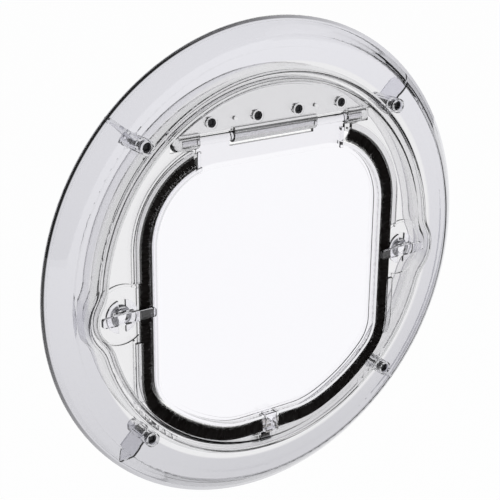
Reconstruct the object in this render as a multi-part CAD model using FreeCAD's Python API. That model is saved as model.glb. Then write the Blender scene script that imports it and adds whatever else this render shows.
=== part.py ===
import FreeCAD, Part
import math
import os

# Clear round cat flap for a glass pane, seen from the room side.
# Millimetres. X runs to the right, Y runs from the room towards the glass and Z runs up.
# The origin is the centre of the ring, in the plane where the rim meets the glass.

V = FreeCAD.Vector

# Door panel outline: a circle about the ring's centre with flats at its sides, top and foot,
# round upper corners and blends beside the foot
DOOR_FOOT_RADIUS = 118.0
DOOR_SIDE_FLAT = 24.0
DOOR_TOP_FLAT = 36.3
DOOR_FOOT_FLAT = 3.9
DOOR_HALF_WIDTH = DOOR_FOOT_RADIUS - DOOR_SIDE_FLAT
DOOR_TOP_Z = DOOR_FOOT_RADIUS - DOOR_TOP_FLAT
DOOR_FOOT_Z = DOOR_FOOT_FLAT - DOOR_FOOT_RADIUS
DOOR_TOP_RADIUS = 51.0
DOOR_CORNER_RADIUS = 30.0
DOOR_FLAT_BLEND = 60.0
DOOR_FRONT_Y = -6.4
DOOR_WALL = 2.6
DOOR_RIM_WIDTH = 2.2
DOOR_RIM_FRONT_Y = -10.2
DOOR_RIM_BACK_Y = -2.8
WINDOW_MARGIN = 5.2
WINDOW_STEP = 0.5

# Ring, from the door outwards: tunnel bead, dished floor, step, crest, slope and rim
BEAD_MARGIN = 18.4
DISH_WIDTH = 13.4
DISH_STEP = 3.2
CREST_LAND = 5.6
SLOPE_WIDTH = 7.0
RIM_SEAT_WIDTH = 4.4
BEAD_RADIUS = DOOR_FOOT_RADIUS + BEAD_MARGIN
DISH_RADIUS = BEAD_RADIUS + DISH_WIDTH
STEP_RADIUS = DISH_RADIUS + DISH_STEP
CREST_RADIUS = STEP_RADIUS + CREST_LAND
RIM_SEAT_RADIUS = CREST_RADIUS + SLOPE_WIDTH
RIM_RADIUS = RIM_SEAT_RADIUS + RIM_SEAT_WIDTH
RIM_LIP_HEIGHT = 1.6
RIM_SEAT_LIP = 0.94
FLANGE_FRONT_Y = -11.4
FLANGE_WALL = 2.2
FLANGE_DISH = 0.7
CREST_ROUNDING = 4.0

# Tunnel: a hollow half-round bead with two walls, bulging outwards beside each lock
BEAD_WIDTH = 7.7
BEAD_WALL = 2.2
BEAD_INNER = -BEAD_WIDTH
OUTER_WALL_OFFSET = 1.9
OUTER_WALL = 2.5
TUNNEL_BACK_Y = 6.0
BULGE_RADIUS = 26.0
BULGE_PROUD = 6.6
BULGE_BLEND = 25.0

# Deck that closes the space between the tunnel and the doorway
DECK_FRONT_Y = -8.0
DECK_WALL = 2.2
DECK_EDGE = 7.5
LINER_WALL = 1.8
LINER_BACK_Y = -1.0

# Hinge across the top of the door
HINGE_Y = -7.6
HINGE_RISE = 15.0
HINGE_Z = DOOR_TOP_Z + HINGE_RISE
RUNNING_GAP = 0.06
AXLE_RADIUS = 2.3
AXLE_END_GAP = 0.4
KNUCKLE_RADIUS = 3.0
TAB_HALF_WIDTH = 59.2
TAB_DROP = 7.0
TAB_TOP_Z = HINGE_Z - TAB_DROP
TAB_SIDE_GAP = 0.7
TAB_OVERLAP = 3.0
HINGE_GAP_HALF_WIDTH = TAB_HALF_WIDTH + TAB_SIDE_GAP
NOTCH_HALF_WIDTH = 34.0
NOTCH_GAP = 0.8
TAB_RIB_FRONT_Y = -8.4
TAB_RIB_OVERLAP = 4.0
SADDLE_RADIUS = 4.2
SOCKET_RADIUS = 4.6
SOCKET_GAP = 0.4
SOCKET_SIDE_ROOM = 5.3
SOCKET_END = math.sqrt((BEAD_RADIUS - BEAD_WIDTH) ** 2 - HINGE_Z ** 2) - SOCKET_SIDE_ROOM
SOCKET_END_WALL = 7.6
AXLE_HALF_LENGTH = SOCKET_END - SOCKET_END_WALL

# Hinge cover and its screws
COVER_FRONT_Y = -12.8
COVER_WALL = 2.2
COVER_SKIRT = 1.6
COVER_RISE = 5.1
COVER_BOTTOM_Z = HINGE_Z + COVER_RISE
COVER_FOOT_LAP = 1.0
COVER_SIDE_GAP = 0.4
COVER_SCREW_RISE = 12.2
COVER_SCREW_Z = HINGE_Z + COVER_SCREW_RISE
COVER_SCREW_X = (-52.0, -16.3, 16.3, 52.0)
COVER_PIN_X = (-32.4, 32.4)
COVER_PIN_RADIUS = 1.3
COVER_COLLAR_RADIUS = 4.5
COVER_COLLAR_HEIGHT = 0.4
COVER_HEAD_RADIUS = 3.0
COVER_HEAD_HEIGHT = 1.5
COVER_SHANK_RADIUS = 1.3
COVER_SHANK_LENGTH = 5.2
COVER_BORE_DEPTH = 6.0
PILLAR_RADIUS = 3.4
DECK_TOP_Z = COVER_BOTTOM_Z - 0.2
SCREW_GAP = 0.08

# Posts that carry the clamping screws, with thin gussets that centre the ring in the glass
POST_OFFSET = 5.8
POST_CIRCLE_RADIUS = BEAD_RADIUS + POST_OFFSET
POST_RADIUS = 5.2
POST_FRONT_Y = -16.0
POST_BACK_Y = 12.0
POST_ROUNDING = 1.6
POST_SCREW_HEAD_RADIUS = 3.5
POST_SCREW_HEAD_FRONT_Y = -14.9
POST_SCREW_HEAD_HEIGHT = 2.2
POST_SCREW_SHANK_RADIUS = 1.9
POST_SCREW_END_Y = 6.5
POST_ANGLES = (45.0, 135.0, 225.0, 315.0)
GUSSET_WALL = 1.6
GUSSET_BACK_Y = 8.9
GUSSET_TAPER = 5.6
GUSSET_FOOT_LAP = 0.2

# Brush seal: pile, spine and the strips that retain the spine
PILE_GAP = 0.3
PILE_ROOT = 9.2
PILE_FRONT_Y = -10.0
PILE_BACK_Y = -8.1
PILE_FLARE_WIDTH = 6.6
PILE_FLARE_BACK_Y = -5.0
SPINE_WIDTH = 1.4
SPINE_FRONT_Y = -9.9
STRIP_WIDTH = 4.0
STRIP_FRONT_Y = -10.7
STRIP_LIP = 1.4
STRIP_LIP_GAP = 0.05
STRIP_GAP = 0.1
STRIP_INNER = PILE_ROOT + SPINE_WIDTH + STRIP_GAP
STRIP_LOWER_END_Z = -74.0
STRIP_LOCK_RISE = 20.9
CURB_INNER = STRIP_INNER + STRIP_WIDTH + STRIP_GAP
CURB_WIDTH = 1.2
CURB_FRONT_Y = -9.6
CURB_HINGE_GAP = 4.0
BRUSH_TOP_X = TAB_HALF_WIDTH + 1.8
STRIP_UPPER_END_X = BRUSH_TOP_X + 3.0
BRUSH_FOOT_X = 6.5

# Magnetic catch at the foot of the door
CATCH_HALF_WIDTH = 5.6
CATCH_SIDE_GAP = 1.2
CATCH_FRONT_Y = -12.2
CATCH_FRONT_FOOT_Z = DOOR_FOOT_Z - 11.3
CATCH_FRONT_TOP_Z = DOOR_FOOT_Z + 3.1
CATCH_FOOT_Z = DOOR_FOOT_Z - 13.5
CATCH_BACK_Y = 3.2
CATCH_WALL = 1.3
DOOR_MAGNET_SIZE = (8.0, 5.0, 3.0)
FRAME_MAGNET_SIZE = (9.4, 6.0, 4.4)
FRAME_MAGNET_FRONT_Y = -2.0
FRAME_MAGNET_WALL_GAP = 0.25
MAGNET_GAP = 0.06
CAP_DEPTH = 1.5
CAP_FLANGE = 0.8
HOLDER_WALL = 1.5

# Locks: a turning thumb lever each side, held by a spring clip behind the deck
LOCK_X = BEAD_RADIUS + BULGE_PROUD - BULGE_RADIUS
LOCK_Z = -10.2
LOCK_DISC_RADIUS = 11.5
LOCK_DISC_FRONT_Y = -8.6
LOCK_FLOOR_FRONT_Y = -6.4
LOCK_FLOOR_WALL = 2.2
LOCK_RECESS_RADIUS = 20.0
LOCK_FLOOR_OVERLAP = 1.2
LOCK_DISC_GAP = 0.3
LOCK_TIP_GAP = 0.8
LOCK_ARM_TAIL = 16.6
LOCK_ARM_WIDTH = 7.6
LOCK_ARM_TAPER = 0.76
LOCK_ARM_ROUNDING = 1.4
LOCK_ARM_FRONT_Y = -13.8
LOCK_ARM_BACK_Y = -11.1
LOCK_NECK_RADIUS = 8.3
LOCK_NOTCH_WIDTH = 5.4
LOCK_NOTCH_DEPTH = 5.6
LOCK_SHAFT_RADIUS = 4.0
LOCK_GROOVE_RADIUS = 3.0
LOCK_SHAFT_END_Y = -1.4
LOCK_CLIP_RADIUS = 7.0
LOCK_CLIP_WALL = 0.8
LOCK_CLIP_GAP = 0.1
LOCK_CLIP_SIDE_GAP = 0.05
LOCK_CLIP_MOUTH = 4.8

# Lap of pieces that are fused, and the reach of cutting tools
LAP = 0.5
FAR = 400.0


def box(x0, x1, y0, y1, z0, z1):
    return Part.makeBox(x1 - x0, y1 - y0, z1 - z0, V(x0, y0, z0))


def rod(radius, y0, y1, x=0.0, z=0.0):
    return Part.makeCylinder(radius, y1 - y0, V(x, y0, z), V(0, 1, 0))


def cross_rod(radius, x0, x1, y, z):
    return Part.makeCylinder(radius, x1 - x0, V(x0, y, z), V(1, 0, 0))


def outline(steps):
    """A face from a closed run of steps: (x, y) ends a line, (x, y, x, y) an arc through the first pair."""
    edges = []
    here = V(steps[0][0], steps[0][1], 0)
    for step in steps[1:] + [steps[0][-2:]]:
        there = V(step[-2], step[-1], 0)
        if len(step) == 4:
            edges.append(Part.Arc(here, V(step[0], step[1], 0), there).toShape())
        else:
            edges.append(Part.makeLine(here, there))
        here = there
    return Part.Face(Part.Wire(edges))


def ogee(x0, y0, x1, y1):
    """Steps of two equal arcs that pass from one level to another, level at both ends."""
    width = x1 - x0
    rise = y1 - y0
    radius = (width ** 2 + rise ** 2) / (4 * rise)
    half = math.atan2(abs(rise), abs(width))
    dx = math.copysign(radius * math.sin(half), width)
    dy = radius * (1 - math.cos(half))
    return [(x0 + dx, y0 + dy, (x0 + x1) / 2, (y0 + y1) / 2), (x1 - dx, y1 - dy, x1, y1)]


def prism(face, y0, y1):
    """Raise a face drawn in the plane y = 0 into a solid from y0 to y1."""
    solid = face.extrude(V(0, y1 - y0, 0))
    solid.translate(V(0, y0, 0))
    return solid


def arc_edge(cx, cz, radius, start, end):
    """Part of a circle in the plane y = 0, angles in degrees from X towards Z."""
    points = []
    for angle in (start, (start + end) / 2, end):
        a = math.radians(angle)
        points.append(V(cx + radius * math.cos(a), 0, cz + radius * math.sin(a)))
    return Part.Arc(*points).toShape()


def mirrored(shape):
    return shape.mirror(V(0, 0, 0), V(1, 0, 0))


# Tunnel outline


def tunnel_arcs():
    """Arcs round the tunnel outline: centre, radius, side of the centre, start and end angle."""
    centre = math.hypot(LOCK_X, LOCK_Z)
    lean = math.atan2(LOCK_Z, LOCK_X)
    to_ring = BEAD_RADIUS + BULGE_BLEND
    to_bulge = BULGE_RADIUS + BULGE_BLEND
    apex = math.acos((centre ** 2 + to_ring ** 2 - to_bulge ** 2) / (2 * centre * to_ring))
    blends = []
    for side in (-1, 1):
        angle = lean + side * apex
        fx = to_ring * math.cos(angle)
        fz = to_ring * math.sin(angle)
        ring_angle = math.degrees(angle)
        bulge_angle = math.degrees(math.atan2(fz - LOCK_Z, fx - LOCK_X))
        blends.append((fx, fz, ring_angle, bulge_angle))
    low, high = blends
    arcs = []
    arcs.append((LOCK_X, LOCK_Z, BULGE_RADIUS, 1, low[3], high[3]))
    arcs.append((high[0], high[1], BULGE_BLEND, -1, high[3] - 180, high[2] - 180))
    arcs.append((0, 0, BEAD_RADIUS, 1, high[2], 180 - high[2]))
    arcs.append((-high[0], high[1], BULGE_BLEND, -1, -high[2], -high[3]))
    arcs.append((-LOCK_X, LOCK_Z, BULGE_RADIUS, 1, 180 - high[3], 180 - low[3]))
    arcs.append((-low[0], low[1], BULGE_BLEND, -1, -low[3], -low[2]))
    arcs.append((0, 0, BEAD_RADIUS, 1, 180 - low[2], 360 + low[2]))
    arcs.append((low[0], low[1], BULGE_BLEND, -1, 180 + low[2], 180 + low[3]))
    return arcs


def tunnel_face(offset):
    edges = []
    for cx, cz, radius, side, start, end in tunnel_arcs():
        edges.append(arc_edge(cx, cz, radius + side * offset, start, end))
    return Part.Face(Part.Wire(edges))


def tunnel_moulding(section):
    """Carry a section, with steps in (offset, y), round the tunnel outline."""
    pieces = []
    for cx, cz, radius, side, start, end in tunnel_arcs():
        steps = []
        for step in section:
            steps.append(tuple(v if i % 2 else radius + side * v for i, v in enumerate(step)))
        face = outline(steps)
        face.rotate(V(0, 0, 0), V(0, -1, 0), start)
        face.translate(V(cx, 0, cz))
        pieces.append(face.revolve(V(cx, 0, cz), V(0, -1, 0), end - start))
    return pieces[0].multiFuse(pieces[1:]).removeSplitter()


# Door outline


def door_face(offset):
    """The door outline, moved outwards by an offset."""
    half = DOOR_HALF_WIDTH + offset
    top_x = DOOR_HALF_WIDTH - DOOR_TOP_RADIUS
    top_z = DOOR_TOP_Z - DOOR_TOP_RADIUS
    corner_x = DOOR_HALF_WIDTH - DOOR_CORNER_RADIUS
    corner_z = -math.sqrt((DOOR_FOOT_RADIUS - DOOR_CORNER_RADIUS) ** 2 - corner_x ** 2)
    flat_z = DOOR_FOOT_Z + DOOR_FLAT_BLEND
    flat_x = math.sqrt((DOOR_FOOT_RADIUS - DOOR_FLAT_BLEND) ** 2 - flat_z ** 2)
    corner_angle = math.degrees(math.atan2(corner_z, corner_x))
    flat_angle = math.degrees(math.atan2(flat_z, flat_x))
    top = DOOR_TOP_Z + offset
    foot = DOOR_FOOT_Z - offset
    top_arc = DOOR_TOP_RADIUS + offset
    corner_arc = DOOR_CORNER_RADIUS + offset
    foot_arc = DOOR_FOOT_RADIUS + offset
    flat_arc = DOOR_FLAT_BLEND + offset
    edges = [
        Part.makeLine(V(half, 0, corner_z), V(half, 0, top_z)),
        arc_edge(top_x, top_z, top_arc, 0, 90),
        Part.makeLine(V(top_x, 0, top), V(-top_x, 0, top)),
        arc_edge(-top_x, top_z, top_arc, 90, 180),
        Part.makeLine(V(-half, 0, top_z), V(-half, 0, corner_z)),
        arc_edge(-corner_x, corner_z, corner_arc, 180, 180 - corner_angle),
        arc_edge(0, 0, foot_arc, 180 - corner_angle, 180 - flat_angle),
        arc_edge(-flat_x, flat_z, flat_arc, 180 - flat_angle, 270),
        Part.makeLine(V(-flat_x, 0, foot), V(flat_x, 0, foot)),
        arc_edge(flat_x, flat_z, flat_arc, -90, flat_angle),
        arc_edge(0, 0, foot_arc, flat_angle, corner_angle),
        arc_edge(corner_x, corner_z, corner_arc, corner_angle, 0),
    ]
    return Part.Face(Part.Wire(edges))


def door_band(inner, outer, y0, y1):
    """A band that follows the door outline between two offsets."""
    return prism(door_face(outer), y0, y1).cut(prism(door_face(inner), y0 - 1, y1 + 1))


# Front frame


def flange():
    """The dished ring, turned from its section."""
    slope = math.atan2(-FLANGE_FRONT_Y - RIM_LIP_HEIGHT, RIM_RADIUS - CREST_RADIUS)
    back_y = FLANGE_FRONT_Y + FLANGE_WALL
    back_crest = CREST_RADIUS - FLANGE_WALL * math.tan(slope / 2)
    inner = BEAD_RADIUS - BEAD_WALL
    floor_y = FLANGE_FRONT_Y + FLANGE_DISH
    section = [
        (RIM_SEAT_RADIUS, 0),
        (RIM_RADIUS, 0),
        (RIM_RADIUS, -RIM_LIP_HEIGHT),
        (CREST_RADIUS, FLANGE_FRONT_Y),
        (STEP_RADIUS, FLANGE_FRONT_Y),
    ]
    section += ogee(STEP_RADIUS, FLANGE_FRONT_Y, DISH_RADIUS, floor_y)
    section += [
        (inner, floor_y),
        (inner, floor_y + FLANGE_WALL),
        (DISH_RADIUS, floor_y + FLANGE_WALL),
    ]
    section += ogee(DISH_RADIUS, floor_y + FLANGE_WALL, STEP_RADIUS, back_y)
    section += [
        (back_crest, back_y),
        (RIM_SEAT_RADIUS, -RIM_SEAT_LIP),
    ]
    ring = outline(section).revolve(V(0, 0, 0), V(0, 1, 0), 360)
    for radius, rounding in ((CREST_RADIUS, CREST_ROUNDING), (back_crest, CREST_ROUNDING - FLANGE_WALL)):
        corner = []
        for edge in ring.Edges:
            circle = edge.Curve
            if isinstance(circle, Part.Circle) and abs(circle.Radius - radius) < 0.001:
                corner.append(edge)
        if rounding > 0:
            ring = ring.makeFillet(rounding, corner)
    return ring


def bead():
    """The hollow half-round rim of the tunnel, with its outer and inner wall."""
    spring_y = FLANGE_FRONT_Y
    middle = BEAD_INNER / 2
    outer = BEAD_WIDTH / 2
    inner = outer - BEAD_WALL
    cavity_outer = OUTER_WALL_OFFSET - OUTER_WALL
    section = [
        (OUTER_WALL_OFFSET, TUNNEL_BACK_Y),
        (OUTER_WALL_OFFSET, spring_y + FLANGE_DISH + FLANGE_WALL / 2),
        (0, spring_y + FLANGE_DISH + FLANGE_WALL / 2),
        (0, spring_y),
        (middle, spring_y - outer, BEAD_INNER, spring_y),
        (BEAD_INNER, TUNNEL_BACK_Y),
        (BEAD_INNER + BEAD_WALL, TUNNEL_BACK_Y),
        (BEAD_INNER + BEAD_WALL, spring_y),
        (middle, spring_y - inner, middle + inner, spring_y),
        (cavity_outer, spring_y + FLANGE_WALL),
        (cavity_outer, TUNNEL_BACK_Y),
    ]
    return tunnel_moulding(section)


def deck():
    """The flat web inside the tunnel, with a sunk floor round each lock."""
    back = DECK_FRONT_Y + DECK_WALL
    whole = prism(tunnel_face(BEAD_INNER + BEAD_WALL / 2), DECK_FRONT_Y, back)
    doorway = prism(door_face(DECK_EDGE), DECK_FRONT_Y - 1, back + 1)
    gap = HINGE_GAP_HALF_WIDTH
    slot = box(-gap, gap, DECK_FRONT_Y - 1, back + 1, 0, DECK_TOP_Z)
    plate = whole.cut([doorway, slot])

    liner = door_band(DECK_EDGE, DECK_EDGE + LINER_WALL, DECK_FRONT_Y, LINER_BACK_Y)
    liner = liner.cut(box(-gap, gap, DECK_FRONT_Y - 1, LINER_BACK_Y + 1, 0, FAR))

    floor_back = LOCK_FLOOR_FRONT_Y + LOCK_FLOOR_WALL
    outside_brush = door_face(STRIP_INNER + STRIP_GAP)
    zone = prism(tunnel_face(BEAD_INNER + BEAD_WALL / 2), DECK_FRONT_Y - 2, floor_back)
    zone = zone.cut(prism(outside_brush, DECK_FRONT_Y - 3, floor_back + 1))
    wide = prism(tunnel_face(BEAD_INNER + BEAD_WALL / 2), DECK_FRONT_Y - 2, floor_back)
    wide = wide.cut(prism(door_face(DECK_EDGE), DECK_FRONT_Y - 3, floor_back + 1))

    parts = [liner]
    pockets = []
    for x in (-LOCK_X, LOCK_X):
        hole = rod(LOCK_RECESS_RADIUS, DECK_FRONT_Y - 1, LOCK_FLOOR_FRONT_Y, x, LOCK_Z)
        pockets.append(hole.common(zone))
        disc = rod(LOCK_RECESS_RADIUS + LOCK_FLOOR_OVERLAP, LOCK_FLOOR_FRONT_Y, floor_back, x, LOCK_Z)
        parts.append(disc.common(wide))
    plate = plate.cut(pockets)
    shell = plate.multiFuse(parts)

    curb = door_band(CURB_INNER, CURB_INNER + CURB_WIDTH, CURB_FRONT_Y, DECK_FRONT_Y + LAP)
    curb = curb.common(prism(tunnel_face(BEAD_INNER + LAP), CURB_FRONT_Y - 1, 0))
    curb = curb.cut(box(-gap - CURB_HINGE_GAP, gap + CURB_HINGE_GAP, -FAR, FAR, 0, FAR))
    curb = curb.cut([
        rod(LOCK_RECESS_RADIUS, -FAR, FAR, -LOCK_X, LOCK_Z),
        rod(LOCK_RECESS_RADIUS, -FAR, FAR, LOCK_X, LOCK_Z),
        box(-FAR, FAR, -FAR, FAR, -FAR, STRIP_LOWER_END_Z),
        hinge_zone(),
    ])
    return shell.fuse(curb)


def hinge_zone():
    """The space round both hinge sockets, which strips and ribs stay out of."""
    end = SOCKET_END + SOCKET_GAP
    return box(-end, end, -FAR, FAR, HINGE_Z - SOCKET_RADIUS - SOCKET_GAP, FAR)


def hinge_seats():
    """Back halves of the end sockets and of the middle saddle."""
    back = HINGE_Y + DECK_WALL
    seats = []
    inner = HINGE_GAP_HALF_WIDTH
    half = NOTCH_HALF_WIDTH - NOTCH_GAP
    for x0, x1, radius in ((inner, SOCKET_END - SOCKET_RADIUS, SOCKET_RADIUS), (-half, half, SADDLE_RADIUS)):
        seat = cross_rod(radius, x0, x1, HINGE_Y, HINGE_Z)
        if x0 > 0:
            seat = seat.fuse(Part.makeSphere(radius, V(x1, HINGE_Y, HINGE_Z)))
        seat = seat.common(box(-FAR, FAR, HINGE_Y, FAR, -FAR, FAR))
        end = x1 + radius if x0 > 0 else x1
        seat = seat.fuse(box(x0, end, HINGE_Y, back, HINGE_Z, DECK_TOP_Z + DECK_WALL / 2))
        seats.append(seat)
    socket, saddle = seats
    return [socket, mirrored(socket), saddle]


def hinge_room():
    """Space in the deck for the front halves that the cover carries."""
    inner = HINGE_GAP_HALF_WIDTH - LAP
    foot = HINGE_Z - SOCKET_RADIUS - SOCKET_GAP
    end = SOCKET_END + SOCKET_GAP
    room = box(inner, end, DECK_FRONT_Y - 1, HINGE_Y, foot, COVER_BOTTOM_Z)
    back = box(inner, end, HINGE_Y, LINER_BACK_Y + 1, foot, HINGE_Z)
    return [room, mirrored(room), back, mirrored(back)]


def axle_bore(gap):
    reach = AXLE_HALF_LENGTH + AXLE_END_GAP
    return cross_rod(AXLE_RADIUS + gap, -reach, reach, HINGE_Y, HINGE_Z)


def post_places():
    for angle in POST_ANGLES:
        a = math.radians(angle)
        yield angle, POST_CIRCLE_RADIUS * math.cos(a), POST_CIRCLE_RADIUS * math.sin(a)


def posts():
    """Round posts with their gussets."""
    solids = []
    top_y = FLANGE_FRONT_Y + FLANGE_DISH + FLANGE_WALL / 2
    for angle, x, z in post_places():
        post = rod(POST_RADIUS, POST_FRONT_Y, POST_BACK_Y, x, z)
        ends = []
        for edge in post.Edges:
            if isinstance(edge.Curve, Part.Circle) and edge.Curve.Center.y > 0:
                ends.append(edge)
        post = post.makeFillet(POST_ROUNDING, ends)
        plate = outline([
            (POST_CIRCLE_RADIUS, top_y),
            (STEP_RADIUS, top_y),
            (CREST_RADIUS - FLANGE_WALL / 2, FLANGE_FRONT_Y + FLANGE_WALL / 2),
            (RIM_SEAT_RADIUS + GUSSET_FOOT_LAP, -RIM_LIP_HEIGHT / 2),
            (RIM_SEAT_RADIUS + GUSSET_FOOT_LAP, 0),
            (RIM_SEAT_RADIUS - GUSSET_TAPER, GUSSET_BACK_Y),
            (POST_CIRCLE_RADIUS, GUSSET_BACK_Y),
        ])
        plate = plate.extrude(V(0, 0, GUSSET_WALL))
        plate.translate(V(0, 0, -GUSSET_WALL / 2))
        plate.rotate(V(0, 0, 0), V(0, -1, 0), angle)
        solids.append(post)
        solids.append(plate)
    return solids


def post_bores():
    cuts = []
    for angle, x, z in post_places():
        cuts.append(rod(POST_SCREW_SHANK_RADIUS + SCREW_GAP, POST_FRONT_Y - 1, POST_BACK_Y + 1, x, z))
        seat = POST_SCREW_HEAD_FRONT_Y + POST_SCREW_HEAD_HEIGHT
        cuts.append(rod(POST_SCREW_HEAD_RADIUS + SCREW_GAP, POST_FRONT_Y - 1, seat, x, z))
    return cuts


def magnet_holder():
    """Ribs across the hollow of the bead that locate the frame magnet, and a front stop."""
    width, depth, height = FRAME_MAGNET_SIZE
    half = width / 2 + MAGNET_GAP
    back = FRAME_MAGNET_FRONT_Y + depth + CAP_DEPTH
    ring = prism(tunnel_face(OUTER_WALL_OFFSET - OUTER_WALL / 2), -FAR, FAR)
    ring = ring.cut(prism(tunnel_face(BEAD_INNER + BEAD_WALL / 2), -FAR, FAR))
    outer = half + HOLDER_WALL
    body = box(-outer, outer, FRAME_MAGNET_FRONT_Y - HOLDER_WALL, back, -FAR, 0)
    pocket = box(-half, half, FRAME_MAGNET_FRONT_Y, back + 1, -FAR, 0)
    return body.cut(pocket).common(ring)


def cover_pillars():
    """Pillars on the deck that carry the cover's plate and take its screws."""
    solids = []
    front = COVER_FRONT_Y + COVER_WALL
    back = DECK_FRONT_Y + DECK_WALL
    for x in COVER_SCREW_X:
        solids.append(rod(PILLAR_RADIUS, front, back, x, COVER_SCREW_Z))
    return solids


def catch_way():
    """Way for the catch through the deck and the liner, inside the tunnel."""
    half = CATCH_HALF_WIDTH + CATCH_SIDE_GAP
    way = box(-half, half, CURB_FRONT_Y - 1, TUNNEL_BACK_Y + 1, -FAR, 0)
    return way.common(prism(tunnel_face(BEAD_INNER), -FAR, FAR))


def front_frame():
    """The clear moulding: flange, tunnel bead, deck, liner, hinge seats and posts."""
    hole = prism(tunnel_face(-OUTER_WALL / 8), -FAR, FAR)
    body = flange().cut(hole)
    body = body.fuse(bead())
    web = deck().cut(hinge_room())
    body = body.multiFuse([web] + hinge_seats() + posts() + cover_pillars() + [magnet_holder()])
    cuts = [catch_way(), axle_bore(RUNNING_GAP)] + post_bores()
    pillar_y = COVER_FRONT_Y + COVER_WALL
    bore_end = COVER_FRONT_Y + COVER_HEAD_HEIGHT + COVER_BORE_DEPTH
    for x in COVER_SCREW_X:
        bore = COVER_SHANK_RADIUS + SCREW_GAP
        cuts.append(rod(bore, pillar_y - 1, bore_end, x, COVER_SCREW_Z))
    for x in COVER_PIN_X:
        bore = COVER_PIN_RADIUS + SCREW_GAP
        cuts.append(rod(bore, DECK_FRONT_Y - 1, DECK_FRONT_Y + DECK_WALL + 1, x, COVER_SCREW_Z))
    for x in (-LOCK_X, LOCK_X):
        cuts.append(rod(LOCK_SHAFT_RADIUS + RUNNING_GAP, LOCK_FLOOR_FRONT_Y - 1, 0, x, LOCK_Z))
    return body.cut(cuts).removeSplitter()


# Hinge cover


def hinge_cover():
    """The segment plate that closes the hinge, with its skirt, collars and front housings."""
    back = COVER_FRONT_Y + COVER_WALL
    seat = DECK_FRONT_Y
    above = box(-FAR, FAR, -FAR, FAR, COVER_BOTTOM_Z, FAR)
    plate = prism(tunnel_face(BEAD_INNER - COVER_SIDE_GAP), COVER_FRONT_Y, back).common(above)
    skirt = prism(tunnel_face(BEAD_INNER - COVER_SIDE_GAP), back - LAP, seat)
    inside = prism(tunnel_face(BEAD_INNER - COVER_SIDE_GAP - COVER_SKIRT), back - 1, 0)
    skirt = skirt.cut(inside).common(above)
    parts = [skirt]
    for x in COVER_SCREW_X:
        parts.append(rod(COVER_COLLAR_RADIUS, COVER_FRONT_Y - COVER_COLLAR_HEIGHT, back, x, COVER_SCREW_Z))
    for x in COVER_PIN_X:
        parts.append(rod(COVER_PIN_RADIUS, back - LAP, DECK_FRONT_Y + DECK_WALL, x, COVER_SCREW_Z))

    front_half = box(-FAR, FAR, -FAR, HINGE_Y, -FAR, FAR)
    inner = HINGE_GAP_HALF_WIDTH
    socket_x = SOCKET_END - SOCKET_RADIUS
    housing_front = HINGE_Y - SADDLE_RADIUS
    top = COVER_BOTTOM_Z + COVER_FOOT_LAP
    socket = cross_rod(SOCKET_RADIUS, inner, socket_x, HINGE_Y, HINGE_Z)
    socket = socket.fuse(Part.makeSphere(SOCKET_RADIUS, V(socket_x, HINGE_Y, HINGE_Z)))
    socket = socket.common(front_half)
    socket = socket.fuse(box(inner, socket_x, housing_front, seat, HINGE_Z, top))
    half = NOTCH_HALF_WIDTH - NOTCH_GAP
    saddle = cross_rod(SADDLE_RADIUS, -half, half, HINGE_Y, HINGE_Z).common(front_half)
    saddle = saddle.fuse(box(-half, half, housing_front, seat, HINGE_Z, top))
    parts += [socket, mirrored(socket), saddle]

    body = plate.multiFuse(parts)
    cuts = [axle_bore(RUNNING_GAP)]
    front = COVER_FRONT_Y - COVER_COLLAR_HEIGHT - 1
    for x in COVER_SCREW_X:
        cuts.append(rod(COVER_SHANK_RADIUS + SCREW_GAP, front, 0, x, COVER_SCREW_Z))
        head_seat = COVER_FRONT_Y + COVER_HEAD_HEIGHT
        cuts.append(rod(COVER_HEAD_RADIUS + SCREW_GAP, front, head_seat, x, COVER_SCREW_Z))
    return body.cut(cuts).removeSplitter()


# Screws


def cross_recess(radius, depth, y, x, z):
    """A cross-shaped driver recess sunk from a head's face."""
    arm = radius * 0.62
    half = radius * 0.16
    upright = box(x - half, x + half, y - 1, y + depth, z - arm, z + arm)
    flat = box(x - arm, x + arm, y - 1, y + depth, z - half, z + half)
    return upright.fuse(flat)


def screw(head_radius, head_height, shank_radius, front_y, end_y, x, z):
    head = rod(head_radius, front_y, front_y + head_height, x, z)
    rims = []
    for edge in head.Edges:
        if isinstance(edge.Curve, Part.Circle) and abs(edge.Curve.Center.y - front_y) < 0.01:
            rims.append(edge)
    head = head.makeFillet(head_height * 0.35, rims)
    tip_y = end_y - shank_radius
    shank = rod(shank_radius, front_y + head_height / 2, tip_y, x, z)
    tip = Part.makeCone(shank_radius, shank_radius * 0.35, shank_radius, V(x, tip_y, z), V(0, 1, 0))
    body = head.multiFuse([shank, tip])
    return body.cut(cross_recess(head_radius, head_height * 0.6, front_y, x, z)).removeSplitter()


# Door


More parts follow.
